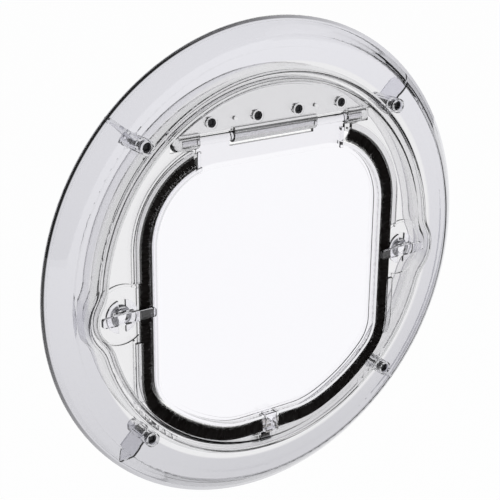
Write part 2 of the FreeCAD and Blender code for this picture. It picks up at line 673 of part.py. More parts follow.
def door():
    """The swinging panel with its rim, hinge axle and catch housing."""
    back = DOOR_FRONT_Y + DOOR_WALL
    tab = box(-TAB_HALF_WIDTH, TAB_HALF_WIDTH, DOOR_FRONT_Y, back, 0, TAB_TOP_Z)
    panel = prism(door_face(0), DOOR_FRONT_Y, back).fuse(tab)

    rim = door_band(-DOOR_RIM_WIDTH, 0, DOOR_RIM_FRONT_Y, DOOR_RIM_BACK_Y)
    inner_tab = TAB_HALF_WIDTH - DOOR_RIM_WIDTH
    rim = rim.cut(box(-inner_tab, inner_tab, -FAR, FAR, 0, FAR))
    top_z = DOOR_TOP_Z - DOOR_TOP_RADIUS
    corner_x = DOOR_HALF_WIDTH - DOOR_TOP_RADIUS
    rise = math.sqrt(DOOR_TOP_RADIUS ** 2 - (TAB_HALF_WIDTH - corner_x) ** 2)
    rib_foot = top_z + rise - TAB_RIB_OVERLAP
    rib = box(inner_tab, TAB_HALF_WIDTH, TAB_RIB_FRONT_Y, back, rib_foot, TAB_TOP_Z)

    knuckles = []
    for x0, x1 in ((NOTCH_HALF_WIDTH, TAB_HALF_WIDTH), (-TAB_HALF_WIDTH, -NOTCH_HALF_WIDTH)):
        barrel = cross_rod(KNUCKLE_RADIUS, x0, x1, HINGE_Y, HINGE_Z)
        web = box(x0, x1, DOOR_FRONT_Y, back, TAB_TOP_Z - TAB_OVERLAP, HINGE_Z)
        knuckles.append(barrel.fuse(web))
    axle = cross_rod(AXLE_RADIUS, -AXLE_HALF_LENGTH, AXLE_HALF_LENGTH, HINGE_Y, HINGE_Z)

    half = CATCH_HALF_WIDTH
    shield = box(-half, half, CATCH_FRONT_Y, back, CATCH_FRONT_FOOT_Z, CATCH_FRONT_TOP_Z)
    hollow = box(
        -half + CATCH_WALL,
        half - CATCH_WALL,
        CATCH_FRONT_Y + CATCH_WALL,
        DOOR_FRONT_Y,
        CATCH_FRONT_FOOT_Z + CATCH_WALL,
        CATCH_FRONT_TOP_Z + 1,
    )
    shield = shield.cut(hollow)
    magnet_w, magnet_d, magnet_h = DOOR_MAGNET_SIZE
    pocket_foot = CATCH_FOOT_Z + CATCH_WALL
    pocket_top = pocket_foot + magnet_h + 2 * MAGNET_GAP
    house = box(-half, half, DOOR_FRONT_Y, CATCH_BACK_Y, CATCH_FOOT_Z, pocket_top + CATCH_WALL)
    reach = magnet_w / 2 + MAGNET_GAP
    front = CATCH_BACK_Y - CAP_DEPTH - magnet_d - 2 * MAGNET_GAP
    pocket = box(-reach, reach, front, CATCH_BACK_Y + 1, pocket_foot, pocket_top)
    stem = box(-half, half, DOOR_FRONT_Y, back, CATCH_FOOT_Z, CATCH_FRONT_TOP_Z)

    body = panel.multiFuse([rim, rib, mirrored(rib), axle, shield, house, stem] + knuckles)
    window = prism(door_face(-WINDOW_MARGIN), DOOR_FRONT_Y - 1, DOOR_FRONT_Y + WINDOW_STEP)
    return body.cut([window, pocket]).removeSplitter()


def door_magnet():
    width, depth, height = DOOR_MAGNET_SIZE
    foot = CATCH_FOOT_Z + CATCH_WALL + MAGNET_GAP
    front = CATCH_BACK_Y - CAP_DEPTH - depth - MAGNET_GAP
    return box(-width / 2, width / 2, front, front + depth, foot, foot + height)


def door_magnet_cap():
    width, depth, height = DOOR_MAGNET_SIZE
    foot = CATCH_FOOT_Z + CATCH_WALL
    plug = box(
        -width / 2,
        width / 2,
        CATCH_BACK_Y - CAP_DEPTH,
        CATCH_BACK_Y,
        foot + MAGNET_GAP,
        foot + height + MAGNET_GAP,
    )
    face = box(
        -CATCH_HALF_WIDTH,
        CATCH_HALF_WIDTH,
        CATCH_BACK_Y,
        CATCH_BACK_Y + CAP_FLANGE,
        CATCH_FOOT_Z,
        foot + height + 2 * MAGNET_GAP + CATCH_WALL,
    )
    return plug.fuse(face).removeSplitter()


def frame_magnet_top():
    """Height at which the frame magnet clears the inner wall of the bead."""
    return -(BEAD_RADIUS + BEAD_INNER + BEAD_WALL + FRAME_MAGNET_WALL_GAP)


def frame_magnet():
    width, depth, height = FRAME_MAGNET_SIZE
    top = frame_magnet_top()
    return box(-width / 2, width / 2, FRAME_MAGNET_FRONT_Y, FRAME_MAGNET_FRONT_Y + depth, top - height, top)


def frame_magnet_cap():
    width, depth, height = FRAME_MAGNET_SIZE
    top = frame_magnet_top()
    front = FRAME_MAGNET_FRONT_Y + depth
    return box(-width / 2, width / 2, front, front + CAP_DEPTH, top - height, top)


# Brush seal


def right_side(shape):
    """The right-hand run of a band, open at the top and at the foot."""
    top = box(-FAR, BRUSH_TOP_X, -FAR, FAR, 0, FAR)
    foot = box(-FAR, BRUSH_FOOT_X, -FAR, FAR, -FAR, 0)
    return shape.cut([top, foot])


def brush_pile():
    """The pile, which spreads backwards from its root towards the door's edge."""
    pile = prism(door_face(PILE_ROOT), PILE_FRONT_Y, PILE_BACK_Y)
    wide = door_face(PILE_GAP + PILE_FLARE_WIDTH).OuterWire
    wide.translate(V(0, PILE_BACK_Y, 0))
    slim = door_face(PILE_GAP + LAP).OuterWire
    slim.translate(V(0, PILE_FLARE_BACK_Y, 0))
    pile = pile.fuse(Part.makeLoft([wide, slim], True, True))
    return right_side(pile.cut(prism(door_face(PILE_GAP), -FAR, FAR)))


def brush_spine():
    return right_side(door_band(PILE_ROOT, PILE_ROOT + SPINE_WIDTH, SPINE_FRONT_Y, DECK_FRONT_Y))


def retainer(upper):
    """A strip beside the spine with a lip over it, above or below the lock."""
    foot = door_band(STRIP_INNER, STRIP_INNER + STRIP_WIDTH, STRIP_FRONT_Y, DECK_FRONT_Y)
    lip = door_band(STRIP_INNER - STRIP_LIP, STRIP_INNER, STRIP_FRONT_Y, SPINE_FRONT_Y - STRIP_LIP_GAP)
    band = right_side(foot.fuse(lip)).removeSplitter()
    band = band.common(prism(tunnel_face(BEAD_INNER - STRIP_GAP), -FAR, FAR)).cut(hinge_zone())
    if upper:
        band = band.common(box(0, FAR, -FAR, FAR, LOCK_Z + STRIP_LOCK_RISE, FAR))
        return band.cut(box(-FAR, STRIP_UPPER_END_X, -FAR, FAR, 0, FAR))
    return band.common(box(0, FAR, -FAR, FAR, STRIP_LOWER_END_Z, LOCK_Z - STRIP_LOCK_RISE))


# Locks


def lock_lever():
    """Right-hand thumb lever: disc, long arm towards the door, short tail and shaft."""
    disc = rod(LOCK_DISC_RADIUS, LOCK_DISC_FRONT_Y, LOCK_FLOOR_FRONT_Y - LOCK_DISC_GAP, LOCK_X, LOCK_Z)
    notches = []
    half = LOCK_NOTCH_WIDTH / 2
    for side in (-1, 1):
        z = LOCK_Z + side * LOCK_DISC_RADIUS
        notches.append(box(
            LOCK_X - half,
            LOCK_X + half,
            -FAR,
            FAR,
            z - LOCK_NOTCH_DEPTH,
            z + LOCK_NOTCH_DEPTH,
        ))
    notches = [n.common(rod(LOCK_DISC_RADIUS + 2, -FAR, FAR, LOCK_X, LOCK_Z)) for n in notches]
    disc = disc.cut(notches)
    wide = LOCK_ARM_WIDTH / 2
    slim = wide - LOCK_ARM_TAPER
    left = DOOR_HALF_WIDTH + LOCK_TIP_GAP
    right = LOCK_X + LOCK_ARM_TAIL
    corners = [
        V(left, 0, LOCK_Z - slim),
        V(LOCK_X, 0, LOCK_Z - wide),
        V(right, 0, LOCK_Z - slim),
        V(right, 0, LOCK_Z + slim),
        V(LOCK_X, 0, LOCK_Z + wide),
        V(left, 0, LOCK_Z + slim),
    ]
    bar = Part.Face(Part.makePolygon(corners + corners[:1]))
    bar = prism(bar, LOCK_ARM_FRONT_Y, LOCK_ARM_BACK_Y)
    upright = []
    for edge in bar.Edges:
        off_axis = abs(edge.CenterOfMass.x - LOCK_X) > LOCK_DISC_RADIUS
        if abs(edge.tangentAt(edge.FirstParameter).y) > 0.9 and off_axis:
            upright.append(edge)
    bar = bar.makeFillet(LOCK_ARM_ROUNDING, upright)
    neck = rod(LOCK_NECK_RADIUS, LOCK_ARM_BACK_Y, LOCK_DISC_FRONT_Y, LOCK_X, LOCK_Z)
    neck = neck.common(box(-FAR, FAR, -FAR, FAR, LOCK_Z - wide, LOCK_Z + wide))
    shaft = rod(LOCK_SHAFT_RADIUS, LOCK_DISC_FRONT_Y, LOCK_SHAFT_END_Y, LOCK_X, LOCK_Z)
    clip_front = LOCK_FLOOR_FRONT_Y + LOCK_FLOOR_WALL + LOCK_CLIP_GAP
    groove_front = clip_front - LOCK_CLIP_SIDE_GAP
    groove_back = clip_front + LOCK_CLIP_WALL + LOCK_CLIP_SIDE_GAP
    groove = rod(LOCK_SHAFT_RADIUS + 1, groove_front, groove_back, LOCK_X, LOCK_Z)
    groove = groove.cut(rod(LOCK_GROOVE_RADIUS, -FAR, FAR, LOCK_X, LOCK_Z))
    return disc.multiFuse([bar, neck, shaft]).cut(groove).removeSplitter()


def lock_clip():
    """Right-hand spring clip in the groove of the lever's shaft, open on one side."""
    front = LOCK_FLOOR_FRONT_Y + LOCK_FLOOR_WALL + LOCK_CLIP_GAP
    ring = rod(LOCK_CLIP_RADIUS, front, front + LOCK_CLIP_WALL, LOCK_X, LOCK_Z)
    hole = rod(LOCK_GROOVE_RADIUS + LOCK_CLIP_SIDE_GAP, -FAR, FAR, LOCK_X, LOCK_Z)
    mouth = LOCK_CLIP_MOUTH / 2
    slot = box(LOCK_X - mouth, LOCK_X + mouth, -FAR, FAR, -FAR, LOCK_Z)
    return ring.cut([hole, slot])


def nodes():
    made = {
        "front_frame": front_frame(),
        "hinge_cover": hinge_cover(),
        "door_panel": door(),
        "door_magnet": door_magnet(),
        "door_magnet_cap": door_magnet_cap(),
        "frame_magnet": frame_magnet(),
        "frame_magnet_cap": frame_magnet_cap(),
    }
    for index, x in enumerate(COVER_SCREW_X, start=1):
        made["cover_screw_%d" % index] = screw(
            COVER_HEAD_RADIUS,
            COVER_HEAD_HEIGHT,
            COVER_SHANK_RADIUS,
            COVER_FRONT_Y,
            COVER_FRONT_Y + COVER_HEAD_HEIGHT + COVER_SHANK_LENGTH,
            x,
            COVER_SCREW_Z,
        )
    for index, (angle, x, z) in enumerate(post_places(), start=1):
        made["post_screw_%d" % index] = screw(
            POST_SCREW_HEAD_RADIUS,
            POST_SCREW_HEAD_HEIGHT,
            POST_SCREW_SHANK_RADIUS,
            POST_SCREW_HEAD_FRONT_Y,
            POST_SCREW_END_Y,
            x,
            z,
        )
    for name, solid in (
        ("brush", brush_pile()),
        ("brush_spine", brush_spine()),
        ("upper_retainer", retainer(True)),
        ("lower_retainer", retainer(False)),
        ("lock_lever", lock_lever()),
        ("lock_clip", lock_clip()),
    ):
        made["right_" + name] = solid
        made["left_" + name] = mirrored(solid)
    return made


def main():
    os.makedirs("parts", exist_ok=True)
    for name, shape in nodes().items():
        if len(shape.Solids) == 1:
            shape = shape.Solids[0]
        print(name, "solids", len(shape.Solids), "volume %.1f" % shape.Volume, "valid", shape.isValid())
        shape.exportStep("parts/%s.step" % name)


main()
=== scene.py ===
import math
import random

import bpy
from bpy.props import FloatProperty, FloatVectorProperty, IntProperty, PointerProperty
from mathutils import Matrix, Vector


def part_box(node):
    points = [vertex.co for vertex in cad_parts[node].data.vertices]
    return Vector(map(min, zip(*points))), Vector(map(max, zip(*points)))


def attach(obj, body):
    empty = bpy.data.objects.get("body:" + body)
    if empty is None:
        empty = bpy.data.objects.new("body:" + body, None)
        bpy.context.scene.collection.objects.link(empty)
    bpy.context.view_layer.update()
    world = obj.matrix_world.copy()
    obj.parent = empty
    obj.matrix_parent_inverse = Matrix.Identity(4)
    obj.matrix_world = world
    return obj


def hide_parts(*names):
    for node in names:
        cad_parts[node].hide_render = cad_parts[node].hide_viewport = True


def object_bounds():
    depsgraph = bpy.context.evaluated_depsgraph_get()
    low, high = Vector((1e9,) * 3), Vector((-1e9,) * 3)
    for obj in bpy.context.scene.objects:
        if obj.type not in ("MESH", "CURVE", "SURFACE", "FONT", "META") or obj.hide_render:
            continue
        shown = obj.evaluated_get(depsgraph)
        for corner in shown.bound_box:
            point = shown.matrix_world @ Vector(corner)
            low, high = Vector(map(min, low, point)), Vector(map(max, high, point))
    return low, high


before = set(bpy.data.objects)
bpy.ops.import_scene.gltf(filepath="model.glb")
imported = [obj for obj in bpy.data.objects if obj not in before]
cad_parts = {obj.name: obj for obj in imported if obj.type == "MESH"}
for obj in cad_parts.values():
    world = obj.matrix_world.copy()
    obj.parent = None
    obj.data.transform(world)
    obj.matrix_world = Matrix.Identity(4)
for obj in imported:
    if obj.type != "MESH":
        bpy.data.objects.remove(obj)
CAD_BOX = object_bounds()

bl_info = {
    "name": "Round Cat Flap",
    "version": (1, 0, 0),
    "blender": (4, 5, 0),
    "location": "View3D > Sidebar > Cat Flap",
    "description": "Dresses a round clear cat flap for a glass pane and sets up its studio",
    "category": "Object",
}

MM = 0.001

# Photograph
PHOTO_SIDE = 500
FOCAL_PIXELS = 1275.2
SENSOR_WIDTH = 36.0
CAMERA_AZIMUTH = -34.76
CAMERA_ELEVATION = 20.25
CAMERA_ROLL = 0.62
CAMERA_DISTANCE = 0.8692
CAMERA_TARGET = (-0.01256, 0.0, 0.0116)

# Door outline that the brush follows, in millimetres
DOOR_HALF_WIDTH = 94.0
DOOR_TOP_Z = 81.7
DOOR_FOOT_Z = -114.1
DOOR_TOP_RADIUS = 51.0
DOOR_CORNER_RADIUS = 30.0
DOOR_FOOT_RADIUS = 118.0
DOOR_FLAT_BLEND = 60.0
DOOR_RIM_WIDTH = 2.2

# Tunnel bead that is refined to its true round form, in millimetres
BEAD_RADIUS = 136.4
BEAD_WIDTH = 7.7
BEAD_WALL = 2.2
BEAD_SPRING_Y = -11.4
BULGE_RADIUS = 26.0
BULGE_BLEND = 25.0
LOCK_X = 117.0
LOCK_Z = -10.2
BEAD_HALF = BEAD_WIDTH / 2
BEAD_CUTS = 2
# How near to a round wall a CAD vertex counts as on it, and how far a new vertex is moved at most
BEAD_NEAR = 0.004
BEAD_SPRING_NEAR = 0.002
BEAD_REACH = 0.4

# Brush pile across the outline, in millimetres
PILE_ROOT = 10.4
PILE_GAP = 0.35
PILE_BEND = 6.7
PILE_FRONT_Y = -9.92
PILE_BACK_Y = -8.18
PILE_TIP_BACK_Y = -5.2
PILE_TOP_X = 61.0
PILE_FOOT_X = 6.5

# A bristle's three levels, root, bend and end: share of its thickness and of its length for colour
LEVEL_THICKNESS = (1.0, 0.9, 0.85)
LEVEL_ALONG = (0.0, 0.3, 1.0)
# How the bristles differ: crowding to the front, few short ones, lean, lean at the bend, own tone
FRONT_POWER = 1.5
SHORT_POWER = 3
LEAN_SPREAD = 0.4
LEAN_MOST = 2.0
BEND_LEAN = 0.1
TONE_LOW = 0.35
TONE_SPREAD = 0.65
# The left brush is a mirror image; each has its own order of bristles
BRUSHES = (("left", -1, 11), ("right", 1, 12))

# Screws, in millimetres: head height, shank radius and how far the thread is cut in
COVER_HEAD_HEIGHT = 1.5
COVER_SHANK_RADIUS = 1.3
POST_HEAD_HEIGHT = 2.2
POST_SHANK_RADIUS = 1.9
THREAD_DEPTH = 0.28
HEAD_SIDES = 48
CORE_SIDES = 24
THREAD_STEPS = 20
# Driver recess as shares of the head's radius and height
RECESS_HALF_WIDTH = 0.16
RECESS_ARM = 0.46
RECESS_DEPTH = 0.6
RECESS_TAPER = 0.62
HEAD_ROUNDING = 0.35
HEAD_OVERLAP = 0.7
POINT_SHARE = 0.35
# Thread ridge as shares of the pitch, and how far its foot is sunk into the core
RIDGE_FOOT = 0.1
RIDGE_CREST = 0.45
RIDGE_END = 0.8
RIDGE_SINK = 0.97
THREAD_RUNOUT = 0.6

# Clear plastic
PLASTIC_IOR = 1.49
RELIEF_DEPTH = 0.0004
DEPTH_TINT = (0.32, 0.34, 0.37)
# Zones of tint, in metres, and the flange's painted light at its top and painted shade at its foot
RIM_RADIUS = 0.170
FLANGE_REACH = (0.1410, 0.1425)
TOP_PAINTED_LIGHT = 1.13
FOOT_PAINTED_SHADE = 0.85
BORDER_BLUR = 0.0003
# Edges with painted shade, where light leaving sideways looks dark: start and end in metres, and the slant of
# the face from 0 (straight on) to 1
RIM_LIP = (0.1665, 0.1673)
CREST_LIP = (0.0114, 0.0118)
CREST_REACH = (0.148, 0.150)
LIP_SLANT = (0.115, 0.17)
EDGE_SLANT = (0.14, 0.3)

# Studio
ROOM_TINT = (0.95, 0.97, 1.0)
ROOM_STRENGTH = 0.6
SIDE_FLAG = (0.8, 0.95)
FLAG_DARKNESS = 0.97
FLOOR_SIDE = 12.0
PAPER_TONE = 0.9
PAPER_GLOW = 0.97
LEFT_SOFTBOX = ("Left Softbox", (-1.2, -0.9, 0.9), (0.7, 1.1))
RIGHT_SOFTBOX = ("Right Softbox", (1.1, -1.0, 0.7), (0.5, 0.9))

# How squarely a face looks along an axis to be picked by it
SQUARE = 0.9

# Millimetres between clear pieces that meet, and metres from the part down to the floor
HAIR_GAP = 0.03
FLOOR_DROP = 0.35


class CatFlapSizes(bpy.types.PropertyGroup):
    """Sizes of the pieces that are modelled here"""

    bristle_count: IntProperty(
        name="Bristles",
        description="Bristles in the brush on each side of the door",
        default=18500,
        min=100,
        max=19000,
    )
    bristle_thickness: FloatProperty(
        name="Bristle Thickness",
        description="Thickness of a bristle at its root",
        default=0.18 * MM,
        min=0.05 * MM,
        precision=5,
        unit="LENGTH",
    )
    bristle_lean: FloatProperty(
        name="Bristle Lean",
        description="How far a bristle's end may lean along the door's edge",
        default=1.1 * MM,
        min=0.0,
        precision=5,
        unit="LENGTH",
    )
    bristle_ragged: FloatProperty(
        name="Ragged Edge",
        description="How much shorter than the rest a bristle may be",
        default=0.8 * MM,
        min=0.0,
        precision=5,
        unit="LENGTH",
    )
    thread_pitch: FloatProperty(
        name="Thread Pitch",
        description="Rise of a screw's thread with each turn",
        default=1.0 * MM,
        min=0.4 * MM,
        precision=5,
        unit="LENGTH",
    )
    smooth_angle: FloatProperty(
        name="Smooth Angle",
        description="Steepest fold between faces that is shaded as round",
        default=math.radians(30.0),
        subtype="ANGLE",
    )


class CatFlapFinishes(bpy.types.PropertyGroup):
    """Colours of the pieces"""

    frame_colour: FloatVectorProperty(
        name="Flange",
        description="Tint of the frame's clear plastic in its flange",
        default=(0.725, 0.722, 0.76),
        min=0.0,
        max=1.0,
        subtype="COLOR",
    )
    deck_colour: FloatVectorProperty(
        name="Frame Inside",
        description="Tint of the frame's clear plastic round the doorway",
        default=(0.86, 0.857, 0.867),
        min=0.0,
        max=1.0,
        subtype="COLOR",
    )
    door_colour: FloatVectorProperty(
        name="Door",
        description="Tint of the door's clear plastic",
        default=(0.975, 0.970, 1.0),
        min=0.0,
        max=1.0,
        subtype="COLOR",
    )
    door_border_colour: FloatVectorProperty(
        name="Door Border",
        description="Tint of the door's clear plastic in its rim and under its hinge",
        default=(0.875, 0.868, 0.905),
        min=0.0,
        max=1.0,
        subtype="COLOR",
    )
    frame_depth: FloatProperty(
        name="Frame Depth Tone",
        description="How strongly the frame's plastic darkens light with each metre",
        default=10.0,
        min=0.0,
    )
    bristle_root: FloatVectorProperty(
        name="Bristle Root",
        description="Colour of the bristles at their root",
        default=(0.0065, 0.0042, 0.0036),
        min=0.0,
        max=1.0,
        subtype="COLOR",
    )
    bristle_tip: FloatVectorProperty(
        name="Bristle End",
        description="Colour of the bristles at their ends",
        default=(0.075, 0.048, 0.038),
        min=0.0,
        max=1.0,
        subtype="COLOR",
    )
    screw_colour: FloatVectorProperty(
        name="Screws",
        description="Colour of the black plated screws",
        default=(0.016, 0.016, 0.018),
        min=0.0,
        max=1.0,
        subtype="COLOR",
    )


class CatFlapStudio(bpy.types.PropertyGroup):
    """Light in the studio"""

    mirrored_once: FloatProperty(
        name="Mirrored Once",
        description="Brightness of the white surround in light that clear parts have mirrored once",
        default=0.95,
        min=0.0,
        max=1.0,
    )
    mirrored_often: FloatProperty(
        name="Mirrored Often",
        description="Brightness of the white surround in light mirrored more than once by clear parts",
        default=0.85,
        min=0.0,
        max=1.0,
    )
    flag_start: FloatProperty(
        name="Flag Start",
        description="Where the studio's dark front starts in mirrored light, along the way into the room",
        default=-0.35,
        min=-1.0,
        max=1.0,
    )
    flag_full: FloatProperty(
        name="Flag Full",
        description="Where the dark front of the studio is at its darkest, along the way into the room",
        default=0.1,
        min=-1.0,
        max=1.0,
    )
    left_power: FloatProperty(
        name="Left Softbox",
        description="Power of the left softbox in watts",
        default=9.0,
        min=0.0,
    )
    right_power: FloatProperty(
        name="Right Softbox",
        description="Power of the right softbox in watts",
        default=5.0,
        min=0.0,
    )


# Tools for shaping


def deselect_all():
    if bpy.context.object is not None and bpy.context.object.mode != "OBJECT":
        bpy.ops.object.mode_set(mode="OBJECT")
    bpy.ops.object.select_all(action="DESELECT")


def make_active(piece):
    deselect_all()
    piece.select_set(True)
    bpy.context.view_layer.objects.active = piece


def apply_modifier(piece, modifier):
    make_active(piece)
    bpy.ops.object.modifier_apply(modifier=modifier.name)


def select_edges(mesh, wanted):
    """In edit mode, select the edges whose two ends both pass a test; returns how many."""
    bpy.ops.mesh.select_all(action="DESELECT")
    bpy.ops.mesh.select_mode(type="EDGE")
    bpy.ops.object.mode_set(mode="OBJECT")
    count = 0
    for edge in mesh.edges:
        edge.select = all(wanted(mesh.vertices[index].co) for index in edge.vertices)
        count += edge.select
    bpy.ops.object.mode_set(mode="EDIT")
    return count


def select_faces(mesh, wanted):
    """Select the active mesh's faces that pass a test, end in object mode; returns how many."""
    bpy.ops.object.mode_set(mode="EDIT")
    bpy.ops.mesh.select_mode(type="FACE")
    bpy.ops.mesh.select_all(action="DESELECT")
    bpy.ops.object.mode_set(mode="OBJECT")
    count = 0
    for face in mesh.polygons:
        face.select = bool(wanted(face))
        count += face.select
    return count


def moulded_copy(node, name, smooth_angle, refine=None):
    """A copy of a CAD node with its doubles merged, refined if asked, and its round faces smooth."""
    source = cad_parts[node]
    piece = bpy.data.objects.new(name, source.data.copy())
    piece.data.name = name
    bpy.context.scene.collection.objects.link(piece)
    make_active(piece)
    bpy.ops.mesh.customdata_custom_splitnormals_clear()
    bpy.ops.object.mode_set(mode="EDIT")
    bpy.ops.mesh.select_all(action="SELECT")
    bpy.ops.mesh.remove_doubles(threshold=1e-6)
    bpy.ops.object.mode_set(mode="OBJECT")
    if refine is not None:
        refine(piece)
    make_active(piece)
    bpy.ops.object.shade_smooth_by_angle(angle=smooth_angle)
    weighted = piece.modifiers.new("Flat Faces", "WEIGHTED_NORMAL")
    weighted.keep_sharp = True
    weighted.weight = 100
    apply_modifier(piece, weighted)
    return piece


def set_back(piece):
    """Draw a piece's faces in by a hair, so that it doesn't share its seat's surface."""
    hair = piece.modifiers.new("Hair Gap", "DISPLACE")
    hair.strength = -HAIR_GAP * MM
    hair.mid_level = 0.0
    apply_modifier(piece, hair)


def tunnel_arcs():
    """Arcs of the tunnel outline: centre, radius, and 1 where its outside faces away from the centre."""
    centre = math.hypot(LOCK_X, LOCK_Z)
    lean = math.atan2(LOCK_Z, LOCK_X)
    to_ring = BEAD_RADIUS + BULGE_BLEND
    to_bulge = BULGE_RADIUS + BULGE_BLEND
    apex = math.acos((centre ** 2 + to_ring ** 2 - to_bulge ** 2) / (2 * centre * to_ring))
    arcs = [(0.0, 0.0, BEAD_RADIUS, 1)]
    for mirror in (1, -1):
        arcs.append((mirror * LOCK_X, LOCK_Z, BULGE_RADIUS, 1))
        for way in (-1, 1):
            angle = lean + way * apex
            x, z = to_ring * math.cos(angle), to_ring * math.sin(angle)
            arcs.append((mirror * x, z, BULGE_BLEND, -1))
    return arcs


def across_bead(arc, x, y, z):
    """A point's distance from an arc's centre, its offset from the arc, and its radius in the bead."""
    centre_x, centre_z, radius, side = arc
    reach = math.hypot(x - centre_x, z - centre_z)
    offset = side * (reach - radius)
    return reach, offset, math.hypot(offset + BEAD_HALF, y - BEAD_SPRING_Y)


def bead_wall(arcs, co):
    """Radius of the round bead wall that a vertex lies on, or 0 where it lies on none."""
    x, y, z = (value / MM for value in co)
    if y > BEAD_SPRING_Y + BEAD_SPRING_NEAR:
        return 0.0
    for arc in arcs:
        across = across_bead(arc, x, y, z)[2]
        for wall in (BEAD_HALF, BEAD_HALF - BEAD_WALL):
            if abs(across - wall) < BEAD_NEAR:
                return wall
    return 0.0


def set_on_bead(arcs, co, wall):
    """Move a vertex straight out or in onto the round bead wall of the given radius."""
    x, y, z = (value / MM for value in co)
    arc = min(arcs, key=lambda item: abs(across_bead(item, x, y, z)[2] - wall))
    reach, offset, across = across_bead(arc, x, y, z)
    if across == 0 or abs(across - wall) > BEAD_REACH:
        return
    centre_x, centre_z, radius, side = arc
    new_offset = (offset + BEAD_HALF) * wall / across - BEAD_HALF
    new_reach = radius + side * new_offset
    co.x = (centre_x + (x - centre_x) * new_reach / reach) * MM
    co.z = (centre_z + (z - centre_z) * new_reach / reach) * MM
    co.y = (BEAD_SPRING_Y + (y - BEAD_SPRING_Y) * wall / across) * MM


def round_bead(piece):
    """Divide the bead's round walls and set their vertices on the true round form."""
    arcs = tunnel_arcs()
    mesh = piece.data
    walls = [bead_wall(arcs, vertex.co) for vertex in mesh.vertices]
    round_walls = ({BEAD_HALF}, {BEAD_HALF - BEAD_WALL})
    make_active(piece)
    if not select_faces(mesh, lambda face: {walls[index] for index in face.vertices} in round_walls):
        raise RuntimeError("no bead on the frame")
    mark = mesh.attributes.new("bead_wall", "FLOAT", "FACE")
    for face in mesh.polygons:
        if face.select:
            mark.data[face.index].value = walls[face.vertices[0]]
    bpy.ops.object.mode_set(mode="EDIT")
    bpy.ops.mesh.subdivide(number_cuts=BEAD_CUTS)
    bpy.ops.object.mode_set(mode="OBJECT")
    mark = mesh.attributes["bead_wall"]
    divided = {}
    for face in mesh.polygons:
        wall = mark.data[face.index].value
        if wall > 0:
            divided.update((index, wall) for index in face.vertices)
    for index, wall in divided.items():
        set_on_bead(arcs, mesh.vertices[index].co, wall)
    mesh.attributes.remove(mark)


def dress(piece, finish, body, slot, *nodes):
    """Finish a new piece: its material, the body it rides on and the nodes it stands for."""
    piece.data.materials.clear()
    piece.data.materials.append(bpy.data.materials[finish])
    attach(piece, body)
    if nodes:
        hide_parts(*nodes)


# Node groups and materials


def opaque(colour):
    return (*colour, 1.0)


def scaled(colour, factor):
    return tuple(min(1.0, factor * value) for value in colour)


def math_node(nodes, links, operation, *values):
    """The result of a math node whose inputs are numbers or other nodes' outputs."""
    node = nodes.new("ShaderNodeMath")
    node.operation = operation
    for socket, value in zip(node.inputs, values):
        if isinstance(value, bpy.types.NodeSocket):
            links.new(value, socket)
        else:
            socket.default_value = value
    return node.outputs["Value"]


def smooth_step(nodes, links, value, start, end):
    node = nodes.new("ShaderNodeMapRange")
    node.interpolation_type = "SMOOTHSTEP"
    node.inputs["From Min"].default_value = start
    node.inputs["From Max"].default_value = end
    links.new(value, node.inputs["Value"])
    return node.outputs["Result"]


def colour_mix(nodes, links, share, first, second, blend="MIX"):
    """The result of a colour mix; share is a number or an output, the colours likewise."""
    node = nodes.new("ShaderNodeMix")
    node.data_type = "RGBA"
    node.blend_type = blend
    for label, value in (("Factor", share), ("A", first), ("B", second)):
        if isinstance(value, bpy.types.NodeSocket):
            links.new(value, node.inputs[label])
        elif label == "Factor":
            node.inputs[label].default_value = value
        else:
            node.inputs[label].default_value = opaque(value)
    return node.outputs["Result"]


def two_tones(nodes, links, value, start, first, end, second):
    """The result of a colour ramp from one colour to another."""
    node = nodes.new("ShaderNodeValToRGB")
    ramp = node.color_ramp
    for stop, place, colour in ((ramp.elements[0], start, first), (ramp.elements[1], end, second)):
        stop.position = place
        stop.color = opaque(colour)
    links.new(value, node.inputs["Fac"])
    return node.outputs["Color"]


def spread_over(nodes, links, value, low, high):
    """A value from 0 to 1, spread from low to high."""
    node = nodes.new("ShaderNodeMapRange")
    node.inputs["To Min"].default_value = low
    node.inputs["To Max"].default_value = high
    links.new(value, node.inputs["Value"])
    return node.outputs["Result"]


def object_place(nodes, links):
    """Outputs X, Y and Z of a point's place in the shared frame."""
    coords = nodes.new("ShaderNodeTexCoord")
    split = nodes.new("ShaderNodeSeparateXYZ")
    links.new(coords.outputs["Object"], split.inputs["Vector"])
    return split.outputs


def plane_length(nodes, links, x, z):
    """Length of the vector (x, 0, z)."""
    flat = nodes.new("ShaderNodeCombineXYZ")
    links.new(x, flat.inputs["X"])
    links.new(z, flat.inputs["Z"])
    length = nodes.new("ShaderNodeVectorMath")
    length.operation = "LENGTH"
    links.new(flat.outputs["Vector"], length.inputs[0])
    return length.outputs["Value"]


def new_group(name, inputs, outputs):
    group = bpy.data.node_groups.new(name, "ShaderNodeTree")
    for label, default in inputs:
        socket = group.interface.new_socket(name=label, in_out="INPUT", socket_type="NodeSocketFloat")
        socket.default_value = default
    for label, kind in outputs:
        group.interface.new_socket(name=label, in_out="OUTPUT", socket_type=kind)
    return group, group.nodes.new("NodeGroupInput"), group.nodes.new("NodeGroupOutput")


